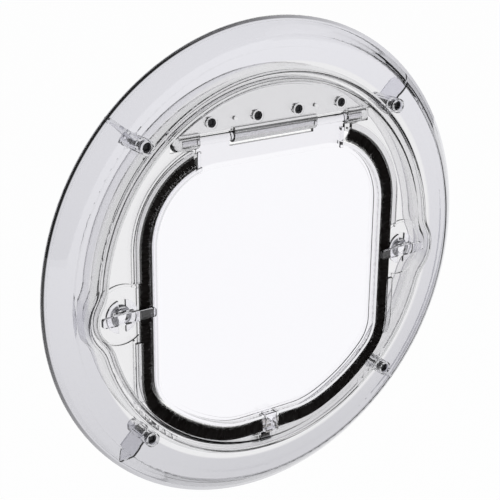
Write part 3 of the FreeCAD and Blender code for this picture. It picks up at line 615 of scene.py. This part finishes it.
def moulded_surface_group():
    """Faint flow waves and fine scratches of a polished moulding."""
    group, given, result = new_group(
        "Moulded Surface",
        [
            ("Flow Scale", 40.0),
            ("Scratch Scale", 900.0),
            ("Base Roughness", 0.02),
            ("Roughness Spread", 0.03),
        ],
        [("Roughness", "NodeSocketFloat"), ("Height", "NodeSocketFloat")],
    )
    nodes, links = group.nodes, group.links
    coords = nodes.new("ShaderNodeTexCoord")
    flow = nodes.new("ShaderNodeTexNoise")
    flow.inputs["Detail"].default_value = 2.0
    links.new(coords.outputs["Object"], flow.inputs["Vector"])
    links.new(given.outputs["Flow Scale"], flow.inputs["Scale"])
    stretch = nodes.new("ShaderNodeMapping")
    stretch.inputs["Scale"].default_value = (1.0, 1.0, 0.04)
    stretch.inputs["Rotation"].default_value = (0.0, 0.6, 0.0)
    links.new(coords.outputs["Object"], stretch.inputs["Vector"])
    scratch = nodes.new("ShaderNodeTexNoise")
    scratch.inputs["Detail"].default_value = 3.0
    links.new(stretch.outputs["Vector"], scratch.inputs["Vector"])
    links.new(given.outputs["Scratch Scale"], scratch.inputs["Scale"])
    spread = math_node(
        nodes,
        links,
        "MULTIPLY_ADD",
        scratch.outputs["Fac"],
        given.outputs["Roughness Spread"],
        given.outputs["Base Roughness"],
    )
    links.new(spread, result.inputs["Roughness"])
    height = math_node(nodes, links, "MULTIPLY_ADD", scratch.outputs["Fac"], 0.06, flow.outputs["Fac"])
    links.new(height, result.inputs["Height"])


def new_material(name):
    material = bpy.data.materials.new(name)
    material.use_nodes = True
    nodes = material.node_tree.nodes
    shader = nodes["Principled BSDF"]
    return material, nodes, material.node_tree.links, shader


def frame_tint(nodes, links, flange, inner):
    """Tint of the frame: light round the doorway, and in the flange painted shade that darkens it towards the
    foot and painted light that brightens it towards the top.
    """
    place = object_place(nodes, links)
    rise = nodes.new("ShaderNodeMapRange")
    rise.inputs["From Min"].default_value = -RIM_RADIUS
    rise.inputs["From Max"].default_value = RIM_RADIUS
    links.new(place["Z"], rise.inputs["Value"])
    # Painted shade and light: the flange is darker at its foot and lighter at its top
    foot, top = scaled(flange, FOOT_PAINTED_SHADE), scaled(flange, TOP_PAINTED_LIGHT)
    outside = colour_mix(nodes, links, rise.outputs["Result"], foot, top)
    radius = plane_length(nodes, links, place["X"], place["Z"])
    return colour_mix(nodes, links, smooth_step(nodes, links, radius, *FLANGE_REACH), inner, outside)


def door_tint(nodes, links, panel, border):
    """Tint of the door: clear in its panel, denser in its rim and in the band under the hinge."""
    place = object_place(nodes, links)
    across = math_node(nodes, links, "ABSOLUTE", place["X"])
    corner_x = math_node(nodes, links, "SUBTRACT", across, (DOOR_HALF_WIDTH - DOOR_TOP_RADIUS) * MM)
    corner_z = math_node(nodes, links, "SUBTRACT", place["Z"], (DOOR_TOP_Z - DOOR_TOP_RADIUS) * MM)
    past_x = math_node(nodes, links, "MAXIMUM", corner_x, 0.0)
    past_z = math_node(nodes, links, "MAXIMUM", corner_z, 0.0)
    start = (DOOR_TOP_RADIUS - DOOR_RIM_WIDTH) * MM
    reach = plane_length(nodes, links, past_x, past_z)
    outside = smooth_step(nodes, links, reach, start, start + BORDER_BLUR)
    return colour_mix(nodes, links, outside, panel, border)


def dark_edge_share(nodes, links, lips_only):
    """Share of painted shade where light leaves a piece sideways: at the frame's lips, or all over."""
    weight = nodes.new("ShaderNodeLayerWeight")
    weight.inputs["Blend"].default_value = 0.5
    inside = nodes.new("ShaderNodeNewGeometry")
    slanted = smooth_step(nodes, links, weight.outputs["Facing"], *(LIP_SLANT if lips_only else EDGE_SLANT))
    leaving = math_node(nodes, links, "MULTIPLY", slanted, inside.outputs["Backfacing"])
    if not lips_only:
        return leaving
    # On the frame the painted shade is kept to the rim's lip and the crest's lip
    place = object_place(nodes, links)
    radius = plane_length(nodes, links, place["X"], place["Z"])
    forward = math_node(nodes, links, "MULTIPLY", place["Y"], -1.0)
    rim = smooth_step(nodes, links, radius, *RIM_LIP)
    proud = smooth_step(nodes, links, forward, *CREST_LIP)
    outer = smooth_step(nodes, links, radius, *CREST_REACH)
    crest = math_node(nodes, links, "MULTIPLY", proud, outer)
    lips = math_node(nodes, links, "MAXIMUM", rim, crest)
    return math_node(nodes, links, "MULTIPLY", leaving, lips)


def clear_plastic(name, colour, density, bump=0.05, rough=0.015, painted_edge_shade=1.0, inner=None, border=None):
    """Clear moulded plastic, greyer in depth; inner is the tint inside the flange, border the door's."""
    nodes, links, shader = new_material(name)[1:]
    shader.inputs["Base Color"].default_value = opaque(colour)
    shader.inputs["Transmission Weight"].default_value = 1.0
    shader.inputs["IOR"].default_value = PLASTIC_IOR
    surface = nodes.new("ShaderNodeGroup")
    surface.node_tree = bpy.data.node_groups["Moulded Surface"]
    surface.inputs["Base Roughness"].default_value = rough
    links.new(surface.outputs["Roughness"], shader.inputs["Roughness"])
    relief = nodes.new("ShaderNodeBump")
    relief.inputs["Strength"].default_value = bump
    relief.inputs["Distance"].default_value = RELIEF_DEPTH
    links.new(surface.outputs["Height"], relief.inputs["Height"])
    links.new(relief.outputs["Normal"], shader.inputs["Normal"])
    # Painted shade: the base colour darkens at edges where light leaves a face sideways
    if painted_edge_shade < 1.0:
        tint = colour
        if inner is not None:
            tint = frame_tint(nodes, links, colour, inner)
        elif border is not None:
            tint = door_tint(nodes, links, colour, border)
        share = dark_edge_share(nodes, links, inner is not None)
        edge_shaded = colour_mix(nodes, links, share, tint, (painted_edge_shade, painted_edge_shade, painted_edge_shade))
        links.new(edge_shaded, shader.inputs["Base Color"])
    depth = nodes.new("ShaderNodeVolumeAbsorption")
    depth.inputs["Color"].default_value = opaque(DEPTH_TINT)
    depth.inputs["Density"].default_value = density
    links.new(depth.outputs["Volume"], nodes["Material Output"].inputs["Volume"])


def solid_finish(name, dark, light, metallic, roughness, scale):
    """An opaque finish whose colour and gloss vary a little over the piece."""
    nodes, links, shader = new_material(name)[1:]
    shader.inputs["Metallic"].default_value = metallic
    coords = nodes.new("ShaderNodeTexCoord")
    grain = nodes.new("ShaderNodeTexNoise")
    grain.inputs["Scale"].default_value = scale
    grain.inputs["Detail"].default_value = 4.0
    links.new(coords.outputs["Object"], grain.inputs["Vector"])
    shade = two_tones(nodes, links, grain.outputs["Fac"], 0.3, dark, 0.7, light)
    links.new(shade, shader.inputs["Base Color"])
    gloss = spread_over(nodes, links, grain.outputs["Fac"], roughness - 0.08, roughness + 0.12)
    links.new(gloss, shader.inputs["Roughness"])
    relief = nodes.new("ShaderNodeBump")
    relief.inputs["Strength"].default_value = 0.15
    relief.inputs["Distance"].default_value = 0.00005
    links.new(grain.outputs["Fac"], relief.inputs["Height"])
    links.new(relief.outputs["Normal"], shader.inputs["Normal"])


def bristle_finish(root, tip):
    """Nylon bristles, dark at the root and paler towards the end, each with a tone of its own."""
    nodes, links, shader = new_material("Bristle")[1:]
    along = nodes.new("ShaderNodeAttribute")
    along.attribute_name = "along"
    tone = nodes.new("ShaderNodeAttribute")
    tone.attribute_name = "tone"
    shade = two_tones(nodes, links, along.outputs["Fac"], 0.93, root, 1.0, tip)
    varied = colour_mix(nodes, links, 0.7, shade, tone.outputs["Color"], "MULTIPLY")
    links.new(varied, shader.inputs["Base Color"])
    links.new(spread_over(nodes, links, tone.outputs["Fac"], 0.35, 0.6), shader.inputs["Roughness"])
    shader.inputs["Specular IOR Level"].default_value = 0.2


# Brush


def door_runs():
    """Arcs and lines of the door's right-hand outline, from the middle of its top to its foot."""
    top_x = DOOR_HALF_WIDTH - DOOR_TOP_RADIUS
    top_z = DOOR_TOP_Z - DOOR_TOP_RADIUS
    corner_x = DOOR_HALF_WIDTH - DOOR_CORNER_RADIUS
    corner_z = -math.sqrt((DOOR_FOOT_RADIUS - DOOR_CORNER_RADIUS) ** 2 - corner_x ** 2)
    flat_z = DOOR_FOOT_Z + DOOR_FLAT_BLEND
    flat_x = math.sqrt((DOOR_FOOT_RADIUS - DOOR_FLAT_BLEND) ** 2 - flat_z ** 2)
    corner_angle = math.atan2(corner_z, corner_x)
    flat_angle = math.atan2(flat_z, flat_x)
    return [
        ("arc", top_x, top_z, DOOR_TOP_RADIUS, math.pi / 2, 0.0),
        ("line", DOOR_HALF_WIDTH, top_z, DOOR_HALF_WIDTH, corner_z, 0.0),
        ("arc", corner_x, corner_z, DOOR_CORNER_RADIUS, 0.0, corner_angle),
        ("arc", 0.0, 0.0, DOOR_FOOT_RADIUS, corner_angle, flat_angle),
        ("arc", flat_x, flat_z, DOOR_FLAT_BLEND, flat_angle, -math.pi / 2),
        ("line", flat_x, DOOR_FOOT_Z, 0.0, DOOR_FOOT_Z, -math.pi / 2),
    ]


def run_length(run):
    kind, a, b, c, d, e = run
    return c * abs(e - d) if kind == "arc" else math.hypot(c - a, d - b)


def on_run(run, distance):
    """A point of a run and the angle of its outward normal."""
    kind, a, b, c, d, e = run
    if kind == "arc":
        angle = d + math.copysign(distance / c, e - d)
        return a + c * math.cos(angle), b + c * math.sin(angle), angle
    share = distance / math.hypot(c - a, d - b)
    return a + share * (c - a), b + share * (d - b), e


def single_bristle():
    """One bristle of three levels: its root, its bend and its pointed end."""
    deselect_all()
    bpy.ops.mesh.primitive_cone_add(vertices=3, radius1=0.5, radius2=0.5, depth=1.0, location=(0, 0, 0.5))
    piece = bpy.context.object
    bpy.ops.object.transform_apply(location=True, rotation=True, scale=True)
    select_faces(piece.data, lambda face: face.normal.z > SQUARE)
    bpy.ops.object.mode_set(mode="EDIT")
    bpy.ops.mesh.extrude_region_move(TRANSFORM_OT_translate={"value": (0, 0, 1.0)})
    bpy.ops.mesh.merge(type="CENTER")
    bpy.ops.object.mode_set(mode="OBJECT")
    points = [vertex.co.copy() for vertex in piece.data.vertices]
    faces = [tuple(face.vertices) for face in piece.data.polygons]
    bpy.data.objects.remove(piece)
    return points, faces


def bristle_path(runs, total, draw, sizes):
    """Root, bend and end of one bristle, in metres, or None where the brush has ended."""
    distance = draw.random() * total
    for run in runs:
        length = run_length(run)
        if distance <= length:
            break
        distance -= length
    x, z, angle = on_run(run, min(distance, length))
    depth = draw.random() ** FRONT_POWER
    short = PILE_GAP + draw.random() ** SHORT_POWER * sizes.bristle_ragged / MM
    lean = draw.gauss(0.0, LEAN_SPREAD) * sizes.bristle_lean / MM
    lean = max(-LEAN_MOST, min(LEAN_MOST, lean))
    root_y = PILE_FRONT_Y + depth * (PILE_BACK_Y - PILE_FRONT_Y)
    tip_y = PILE_FRONT_Y + depth * (PILE_TIP_BACK_Y - PILE_FRONT_Y)
    path = []
    levels = ((PILE_ROOT, root_y, 0.0), (PILE_BEND, root_y, BEND_LEAN * lean), (short, tip_y, lean))
    for offset, y, slide in levels:
        px = x + offset * math.cos(angle) - slide * math.sin(angle)
        pz = z + offset * math.sin(angle) + slide * math.cos(angle)
        path.append(Vector((px, y, pz)) * MM)
    end_x = PILE_TOP_X if z > 0 else PILE_FOOT_X
    if z != 0 and min(point.x for point in path) < end_x * MM:
        return None
    return path


def brush(side, name, seed, sizes):
    """A brush of single bristles along the door's edge; side is 1 at the right and -1 at the left."""
    points, faces = single_bristle()
    runs = door_runs()
    total = sum(run_length(run) for run in runs)
    draw = random.Random(seed)
    made_points = []
    made_faces = []
    along = []
    tones = []
    count = 0
    while count < sizes.bristle_count:
        path = bristle_path(runs, total, draw, sizes)
        if path is None:
            continue
        tone = TONE_LOW + TONE_SPREAD * draw.random()
        turn = draw.random() * math.tau
        first = len(made_points)
        run = (path[2] - path[0]).normalized()
        across = run.cross(Vector((0, 1, 0))).normalized()
        deep = run.cross(across)
        for point in points:
            level = int(round(point.z))
            thick = sizes.bristle_thickness * LEVEL_THICKNESS[level]
            u = math.cos(turn) * point.x - math.sin(turn) * point.y
            v = math.sin(turn) * point.x + math.cos(turn) * point.y
            place = path[level] + thick * (u * across + v * deep)
            made_points.append((side * place.x, place.y, place.z))
            along.append(LEVEL_ALONG[level])
            tones.append(tone)
        for face in faces:
            corners = [first + index for index in face]
            made_faces.append(corners if side > 0 else corners[::-1])
        count += 1
    mesh = bpy.data.meshes.new(name)
    mesh.from_pydata(made_points, [], made_faces)
    for label, values in (("along", along), ("tone", tones)):
        layer = mesh.attributes.new(label, "FLOAT", "POINT")
        layer.data.foreach_set("value", values)
    piece = bpy.data.objects.new(name, mesh)
    bpy.context.scene.collection.objects.link(piece)
    make_active(piece)
    bpy.ops.object.mode_set(mode="EDIT")
    bpy.ops.mesh.select_all(action="SELECT")
    bpy.ops.mesh.normals_make_consistent(inside=False)
    bpy.ops.object.mode_set(mode="OBJECT")
    return piece


# Screws


def cross_cutter(radius, depth):
    """The cross-shaped point of a driver, pointing along Y from its wide end at the origin."""
    deselect_all()
    half = RECESS_HALF_WIDTH * radius
    bpy.ops.mesh.primitive_cube_add(size=1.0, location=(0, depth / 2 - half / 2, 0))
    cutter = bpy.context.object
    cutter.scale = (2 * half, depth + half, 2 * half)
    bpy.ops.object.transform_apply(location=True, rotation=True, scale=True)
    for axis in (0, 2):
        for way in (-1, 1):
            select_faces(
                cutter.data,
                lambda face: way * face.normal[axis] > SQUARE
                and abs(face.center[axis] - way * half) < 0.01 * half,
            )
            bpy.ops.object.mode_set(mode="EDIT")
            arm = [0.0, 0.0, 0.0]
            arm[axis] = way * RECESS_ARM * radius
            bpy.ops.mesh.extrude_region_move(TRANSFORM_OT_translate={"value": arm})
            bpy.ops.object.mode_set(mode="OBJECT")
    bpy.ops.object.mode_set(mode="EDIT")
    bpy.ops.mesh.select_mode(type="VERT")
    bpy.ops.mesh.select_all(action="DESELECT")
    bpy.ops.object.mode_set(mode="OBJECT")
    for vertex in cutter.data.vertices:
        vertex.select = vertex.co.y > 0.5 * depth
    bpy.ops.object.mode_set(mode="EDIT")
    bpy.ops.transform.resize(value=(RECESS_TAPER, 1.0, RECESS_TAPER), center_override=(0, depth, 0))
    bpy.ops.object.mode_set(mode="OBJECT")
    return cutter


def screw_head(radius, height):
    """A round head with a rounded rim and a cross recess, its face at the origin."""
    deselect_all()
    bpy.ops.mesh.primitive_cylinder_add(
        vertices=HEAD_SIDES,
        radius=radius,
        depth=height,
        location=(0, height / 2, 0),
        rotation=(math.pi / 2, 0, 0),
    )
    head = bpy.context.object
    bpy.ops.object.transform_apply(location=True, rotation=True, scale=True)
    bpy.ops.object.mode_set(mode="EDIT")
    if not select_edges(head.data, lambda co: co.y < 0.1 * height):
        raise RuntimeError("no rim on the screw's head")
    bpy.ops.mesh.bevel(offset=HEAD_ROUNDING * height, segments=4, affect="EDGES")
    bpy.ops.object.mode_set(mode="OBJECT")
    cutter = cross_cutter(radius, RECESS_DEPTH * height)
    recess = head.modifiers.new("Driver Recess", "BOOLEAN")
    recess.operation = "DIFFERENCE"
    recess.solver = "EXACT"
    recess.object = cutter
    apply_modifier(head, recess)
    bpy.data.objects.remove(cutter)
    return head


def screw_shank(radius, start, end, pitch):
    """The plain core with a point, and a thread wound round it."""
    core_radius = radius - THREAD_DEPTH * MM
    length = end - start
    deselect_all()
    bpy.ops.mesh.primitive_cylinder_add(
        vertices=CORE_SIDES,
        radius=core_radius,
        depth=length - radius,
        location=(0, start + (length - radius) / 2, 0),
        rotation=(-math.pi / 2, 0, 0),
    )
    core = bpy.context.object
    bpy.ops.object.transform_apply(location=True, rotation=True, scale=True)
    select_faces(core.data, lambda face: face.normal.y > SQUARE)
    bpy.ops.object.mode_set(mode="EDIT")
    bpy.ops.mesh.extrude_region_move(TRANSFORM_OT_translate={"value": (0, radius, 0)})
    bpy.ops.transform.resize(value=(POINT_SHARE, 1.0, POINT_SHARE), center_override=(0, end, 0))
    bpy.ops.object.mode_set(mode="OBJECT")

    turns = int((length - radius - THREAD_RUNOUT * pitch) / pitch)
    deselect_all()
    bpy.ops.mesh.primitive_circle_add(vertices=3, radius=1.0, fill_type="NOTHING")
    thread = bpy.context.object
    ridge = (
        (core_radius * RIDGE_SINK, start + RIDGE_FOOT * pitch),
        (radius, start + RIDGE_CREST * pitch),
        (core_radius * RIDGE_SINK, start + RIDGE_END * pitch),
    )
    for vertex, (out, y) in zip(thread.data.vertices, ridge):
        vertex.co = (out, y, 0.0)
    winding = thread.modifiers.new("Winding", "SCREW")
    winding.axis = "Y"
    winding.angle = math.tau
    winding.screw_offset = pitch
    winding.iterations = turns
    winding.steps = THREAD_STEPS
    winding.render_steps = THREAD_STEPS
    apply_modifier(thread, winding)
    bpy.ops.object.mode_set(mode="EDIT")
    bpy.ops.mesh.select_all(action="SELECT")
    bpy.ops.mesh.remove_doubles(threshold=1e-7)
    bpy.ops.mesh.fill_holes(sides=4)
    bpy.ops.mesh.select_all(action="SELECT")
    bpy.ops.mesh.normals_make_consistent(inside=False)
    bpy.ops.object.mode_set(mode="OBJECT")
    return core, thread


def screw_piece(node, name, head_height, shank_radius, pitch, smooth_angle):
    """A detailed screw in a CAD screw's place."""
    low, high = [Vector(corner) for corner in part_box(node)]
    centre = (low + high) / 2
    head_height *= MM
    shank_radius *= MM
    head = screw_head((high.x - low.x) / 2, head_height)
    core, thread = screw_shank(shank_radius, HEAD_OVERLAP * head_height, high.y - low.y, pitch)
    deselect_all()
    for part in (core, thread, head):
        part.select_set(True)
    bpy.context.view_layer.objects.active = head
    bpy.ops.object.join()
    head.location = (centre.x, low.y, centre.z)
    make_active(head)
    bpy.ops.object.transform_apply(location=True, rotation=True, scale=True)
    bpy.ops.object.shade_smooth_by_angle(angle=smooth_angle)
    head.name = name
    head.data.name = name
    return head


# Stage


def add_camera():
    azimuth = math.radians(CAMERA_AZIMUTH)
    elevation = math.radians(CAMERA_ELEVATION)
    roll = math.radians(CAMERA_ROLL)
    back = Vector((
        math.cos(elevation) * math.sin(azimuth),
        -math.cos(elevation) * math.cos(azimuth),
        math.sin(elevation),
    ))
    right = (-back).cross(Vector((0, 0, 1))).normalized()
    up = right.cross(-back)
    turned_right = math.cos(roll) * right + math.sin(roll) * up
    turned_up = math.cos(roll) * up - math.sin(roll) * right
    place = Vector(CAMERA_TARGET) + CAMERA_DISTANCE * back
    camera = bpy.data.cameras.new("Camera")
    camera.sensor_fit = "HORIZONTAL"
    camera.sensor_width = SENSOR_WIDTH
    camera.lens = FOCAL_PIXELS / PHOTO_SIDE * SENSOR_WIDTH
    camera.clip_start = 0.01
    camera.clip_end = 50.0
    rig = bpy.data.objects.new("Camera", camera)
    turn = Matrix((turned_right, turned_up, back)).transposed().to_4x4()
    rig.matrix_world = Matrix.Translation(place) @ turn
    bpy.context.scene.collection.objects.link(rig)
    bpy.context.scene.camera = rig


def shown_white(nodes, links):
    """1 for rays that meet the white backdrop, directly or by way of clear parts; and the Light Path node."""
    path = nodes.new("ShaderNodeLightPath")
    first = math_node(nodes, links, "MAXIMUM", path.outputs["Is Camera Ray"], path.outputs["Is Glossy Ray"])
    return math_node(nodes, links, "MAXIMUM", first, path.outputs["Is Transmission Ray"]), path


def surround_level(nodes, links, path, studio):
    """Brightness of the surround: white when seen straight through, dimmer after each mirroring."""
    mirrored = path.outputs["Glossy Depth"]
    once = smooth_step(nodes, links, mirrored, 0.0, 1.0)
    often = smooth_step(nodes, links, mirrored, 1.0, 2.0)
    dimmed = math_node(nodes, links, "MULTIPLY_ADD", once, studio.mirrored_once - 1.0, 1.0)
    drop = studio.mirrored_often - studio.mirrored_once
    return math_node(nodes, links, "MULTIPLY_ADD", often, drop, dimmed)


def add_world(studio):
    world = bpy.data.worlds.new("Studio")
    bpy.context.scene.world = world
    world.use_nodes = True
    nodes, links = world.node_tree.nodes, world.node_tree.links
    nodes.clear()
    output = nodes.new("ShaderNodeOutputWorld")
    light = nodes.new("ShaderNodeBackground")
    light.inputs["Color"].default_value = opaque(ROOM_TINT)
    light.inputs["Strength"].default_value = ROOM_STRENGTH
    white, path = shown_white(nodes, links)
    coords = nodes.new("ShaderNodeTexCoord")
    split = nodes.new("ShaderNodeSeparateXYZ")
    # A world's Generated coordinates are the direction that is looked in
    links.new(coords.outputs["Generated"], split.inputs["Vector"])
    forwards = math_node(nodes, links, "MULTIPLY", split.outputs["Y"], -1.0)
    wide = smooth_step(nodes, links, forwards, studio.flag_start, studio.flag_full)
    mirrored = math_node(nodes, links, "MINIMUM", path.outputs["Glossy Depth"], 1.0)
    front = math_node(nodes, links, "MULTIPLY", wide, mirrored)
    side = smooth_step(nodes, links, split.outputs["X"], *SIDE_FLAG)
    darkest = math_node(nodes, links, "MAXIMUM", front, side)
    shaded = math_node(nodes, links, "MULTIPLY_ADD", darkest, -FLAG_DARKNESS, 1.0)
    level = math_node(nodes, links, "MULTIPLY", shaded, surround_level(nodes, links, path, studio))
    bright = math_node(nodes, links, "MAXIMUM", level, path.outputs["Is Camera Ray"])
    room = nodes.new("ShaderNodeBackground")
    links.new(bright, room.inputs["Strength"])
    room.inputs["Color"].default_value = (1, 1, 1, 1)
    mix = nodes.new("ShaderNodeMixShader")
    links.new(white, mix.inputs["Fac"])
    links.new(light.outputs["Background"], mix.inputs[1])
    links.new(room.outputs["Background"], mix.inputs[2])
    links.new(mix.outputs["Shader"], output.inputs["Surface"])


def add_floor(studio):
    low = CAD_BOX[0].z - FLOOR_DROP
    deselect_all()
    bpy.ops.mesh.primitive_plane_add(size=FLOOR_SIDE, location=(0, 0, low))
    floor = bpy.context.object
    floor.name = "Floor"
    paper, nodes, links, shader = new_material("White Paper")
    shader.inputs["Base Color"].default_value = (PAPER_TONE, PAPER_TONE, PAPER_TONE, 1)
    shader.inputs["Roughness"].default_value = 0.9
    glow = nodes.new("ShaderNodeEmission")
    white, path = shown_white(nodes, links)
    links.new(surround_level(nodes, links, path, studio), glow.inputs["Strength"])
    share = math_node(nodes, links, "MULTIPLY", white, PAPER_GLOW)
    mix = nodes.new("ShaderNodeMixShader")
    links.new(share, mix.inputs["Fac"])
    links.new(shader.outputs["BSDF"], mix.inputs[1])
    links.new(glow.outputs["Emission"], mix.inputs[2])
    links.new(mix.outputs["Shader"], nodes["Material Output"].inputs["Surface"])
    floor.data.materials.append(paper)


def add_lamp(name, place, size, power):
    """A softbox that is aimed at the object and isn't seen in it."""
    lamp = bpy.data.lights.new(name, "AREA")
    lamp.shape = "RECTANGLE"
    lamp.size = size[0]
    lamp.size_y = size[1]
    lamp.energy = power
    rig = bpy.data.objects.new(name, lamp)
    aim = (-Vector(place)).to_track_quat("-Z", "Y")
    rig.matrix_world = Matrix.Translation(place) @ aim.to_matrix().to_4x4()
    rig.visible_glossy = False
    rig.visible_transmission = False
    bpy.context.scene.collection.objects.link(rig)


class CATFLAP_OT_stage(bpy.types.Operator):
    """Add the camera, the floor, the studio and its lamps"""

    bl_idname = "catflap.stage"
    bl_label = "Studio"

    def execute(self, context):
        studio = context.scene.cat_flap_studio
        add_camera()
        add_world(studio)
        add_floor(studio)
        add_lamp(*LEFT_SOFTBOX, studio.left_power)
        add_lamp(*RIGHT_SOFTBOX, studio.right_power)
        context.scene.view_settings.view_transform = "Standard"
        return {"FINISHED"}


class CATFLAP_OT_finishes(bpy.types.Operator):
    """Make the finishes that the pieces share"""

    bl_idname = "catflap.finishes"
    bl_label = "Finishes"

    def execute(self, context):
        finishes = context.scene.cat_flap_finishes
        moulded_surface_group()
        flange, deck = finishes.frame_colour, finishes.deck_colour
        door, border = finishes.door_colour, finishes.door_border_colour
        depth = finishes.frame_depth
        clear_plastic("Clear Frame", flange, depth, painted_edge_shade=0.0004, inner=deck)
        clear_plastic("Clear Door", door, 3.0, bump=0.02, painted_edge_shade=0.3, border=border)
        clear_plastic("Clear Trim", deck, depth, painted_edge_shade=0.1)
        clear_plastic("Clear Lock", door, depth, painted_edge_shade=0.01)
        clear_plastic("Frosted Strip", scaled(deck, 0.95), 20.0, rough=0.06)
        screw = finishes.screw_colour
        solid_finish("Black Screw", scaled(screw, 0.7), scaled(screw, 1.8), 0.5, 0.35, 800.0)
        solid_finish("Black Ferrite", (0.01, 0.01, 0.01), (0.025, 0.025, 0.025), 0.0, 0.5, 900.0)
        solid_finish("Nickel", (0.62, 0.58, 0.5), (0.8, 0.76, 0.68), 1.0, 0.3, 700.0)
        solid_finish("Spring Steel", (0.4, 0.41, 0.42), (0.6, 0.6, 0.61), 1.0, 0.3, 600.0)
        bristle_finish(finishes.bristle_root, finishes.bristle_tip)
        return {"FINISHED"}


CLEAR_PIECES = (
    ("front_frame", "frame_moulding", "Clear Frame", "frame"),
    ("hinge_cover", "cover_moulding", "Clear Frame", "frame"),
    ("door_panel", "door_moulding", "Clear Door", "flap"),
    ("door_magnet_cap", "door_cap_moulding", "Clear Trim", "flap"),
    ("frame_magnet_cap", "frame_cap_moulding", "Clear Trim", "frame"),
    ("left_lock_lever", "left_lever_moulding", "Clear Lock", "left_lock"),
    ("right_lock_lever", "right_lever_moulding", "Clear Lock", "right_lock"),
)


class CATFLAP_OT_mouldings(bpy.types.Operator):
    """Dress the clear mouldings and the strips beside the brush"""

    bl_idname = "catflap.mouldings"
    bl_label = "Clear Mouldings"

    def execute(self, context):
        smooth_angle = context.scene.cat_flap_sizes.smooth_angle
        for node, name, finish, body in CLEAR_PIECES:
            if node == "front_frame":
                piece = moulded_copy(node, name, smooth_angle, refine=round_bead)
            else:
                piece = moulded_copy(node, name, smooth_angle)
                set_back(piece)
            dress(piece, finish, body, "clear_plastic", node)
        for side in ("left", "right"):
            for strip in ("_upper_retainer", "_lower_retainer"):
                piece = moulded_copy(side + strip, side + strip + "_strip", smooth_angle)
                set_back(piece)
                dress(piece, "Clear Trim", "frame", "clear_plastic", side + strip)
            piece = moulded_copy(side + "_brush_spine", side + "_spine_strip", smooth_angle)
            set_back(piece)
            dress(piece, "Frosted Strip", "frame", "brush_backing", side + "_brush_spine")
        return {"FINISHED"}


class CATFLAP_OT_brushes(bpy.types.Operator):
    """Plant the bristles of both brushes"""

    bl_idname = "catflap.brushes"
    bl_label = "Brushes"

    def execute(self, context):
        sizes = context.scene.cat_flap_sizes
        for side, way, seed in BRUSHES:
            piece = brush(way, side + "_bristles", seed, sizes)
            dress(piece, "Bristle", "frame", "bristle", side + "_brush")
        return {"FINISHED"}


class CATFLAP_OT_screws(bpy.types.Operator):
    """Model the eight screws with their driver recess and thread"""

    bl_idname = "catflap.screws"
    bl_label = "Screws"

    def execute(self, context):
        sizes = context.scene.cat_flap_sizes
        kinds = (
            ("cover_screw_", COVER_HEAD_HEIGHT, COVER_SHANK_RADIUS),
            ("post_screw_", POST_HEAD_HEIGHT, POST_SHANK_RADIUS),
        )
        for kind, head_height, shank_radius in kinds:
            for number in range(1, 5):
                node = kind + str(number)
                piece = screw_piece(
                    node,
                    node + "_threaded",
                    head_height,
                    shank_radius,
                    sizes.thread_pitch,
                    sizes.smooth_angle,
                )
                dress(piece, "Black Screw", "frame", "black_screw", node)
        return {"FINISHED"}


class CATFLAP_OT_hardware(bpy.types.Operator):
    """Finish the magnets and the spring clips"""

    bl_idname = "catflap.hardware"
    bl_label = "Magnets and Clips"

    def execute(self, context):
        for node, finish in (
            ("frame_magnet", "Black Ferrite"),
            ("door_magnet", "Nickel"),
            ("left_lock_clip", "Spring Steel"),
            ("right_lock_clip", "Spring Steel"),
        ):
            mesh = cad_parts[node].data
            mesh.materials.clear()
            mesh.materials.append(bpy.data.materials[finish])
        return {"FINISHED"}


class CATFLAP_PT_panel(bpy.types.Panel):
    """The cat flap's steps and sizes in the sidebar"""

    bl_label = "Cat Flap"
    bl_idname = "CATFLAP_PT_panel"
    bl_space_type = "VIEW_3D"
    bl_region_type = "UI"
    bl_category = "Cat Flap"

    def draw(self, context):
        for operator in OPERATORS:
            self.layout.operator(operator.bl_idname)
        for label, kind in GROUPS:
            for field in kind.bl_rna.properties:
                if field.identifier not in ("name", "rna_type"):
                    self.layout.prop(getattr(context.scene, label), field.identifier)


GROUPS = (
    ("cat_flap_sizes", CatFlapSizes),
    ("cat_flap_finishes", CatFlapFinishes),
    ("cat_flap_studio", CatFlapStudio),
)
OPERATORS = (
    CATFLAP_OT_finishes,
    CATFLAP_OT_mouldings,
    CATFLAP_OT_brushes,
    CATFLAP_OT_screws,
    CATFLAP_OT_hardware,
    CATFLAP_OT_stage,
)


def register():
    for label, kind in GROUPS:
        bpy.utils.register_class(kind)
        setattr(bpy.types.Scene, label, PointerProperty(type=kind))
    for item in OPERATORS:
        bpy.utils.register_class(item)
    bpy.utils.register_class(CATFLAP_PT_panel)


def unregister():
    bpy.utils.unregister_class(CATFLAP_PT_panel)
    for item in reversed(OPERATORS):
        bpy.utils.unregister_class(item)
    for label, kind in reversed(GROUPS):
        delattr(bpy.types.Scene, label)
        bpy.utils.unregister_class(kind)


def main():
    register()
    bpy.ops.catflap.finishes()
    bpy.ops.catflap.mouldings()
    bpy.ops.catflap.brushes()
    bpy.ops.catflap.screws()
    bpy.ops.catflap.hardware()
    bpy.ops.catflap.stage()


if __name__ == "__main__":
    main()
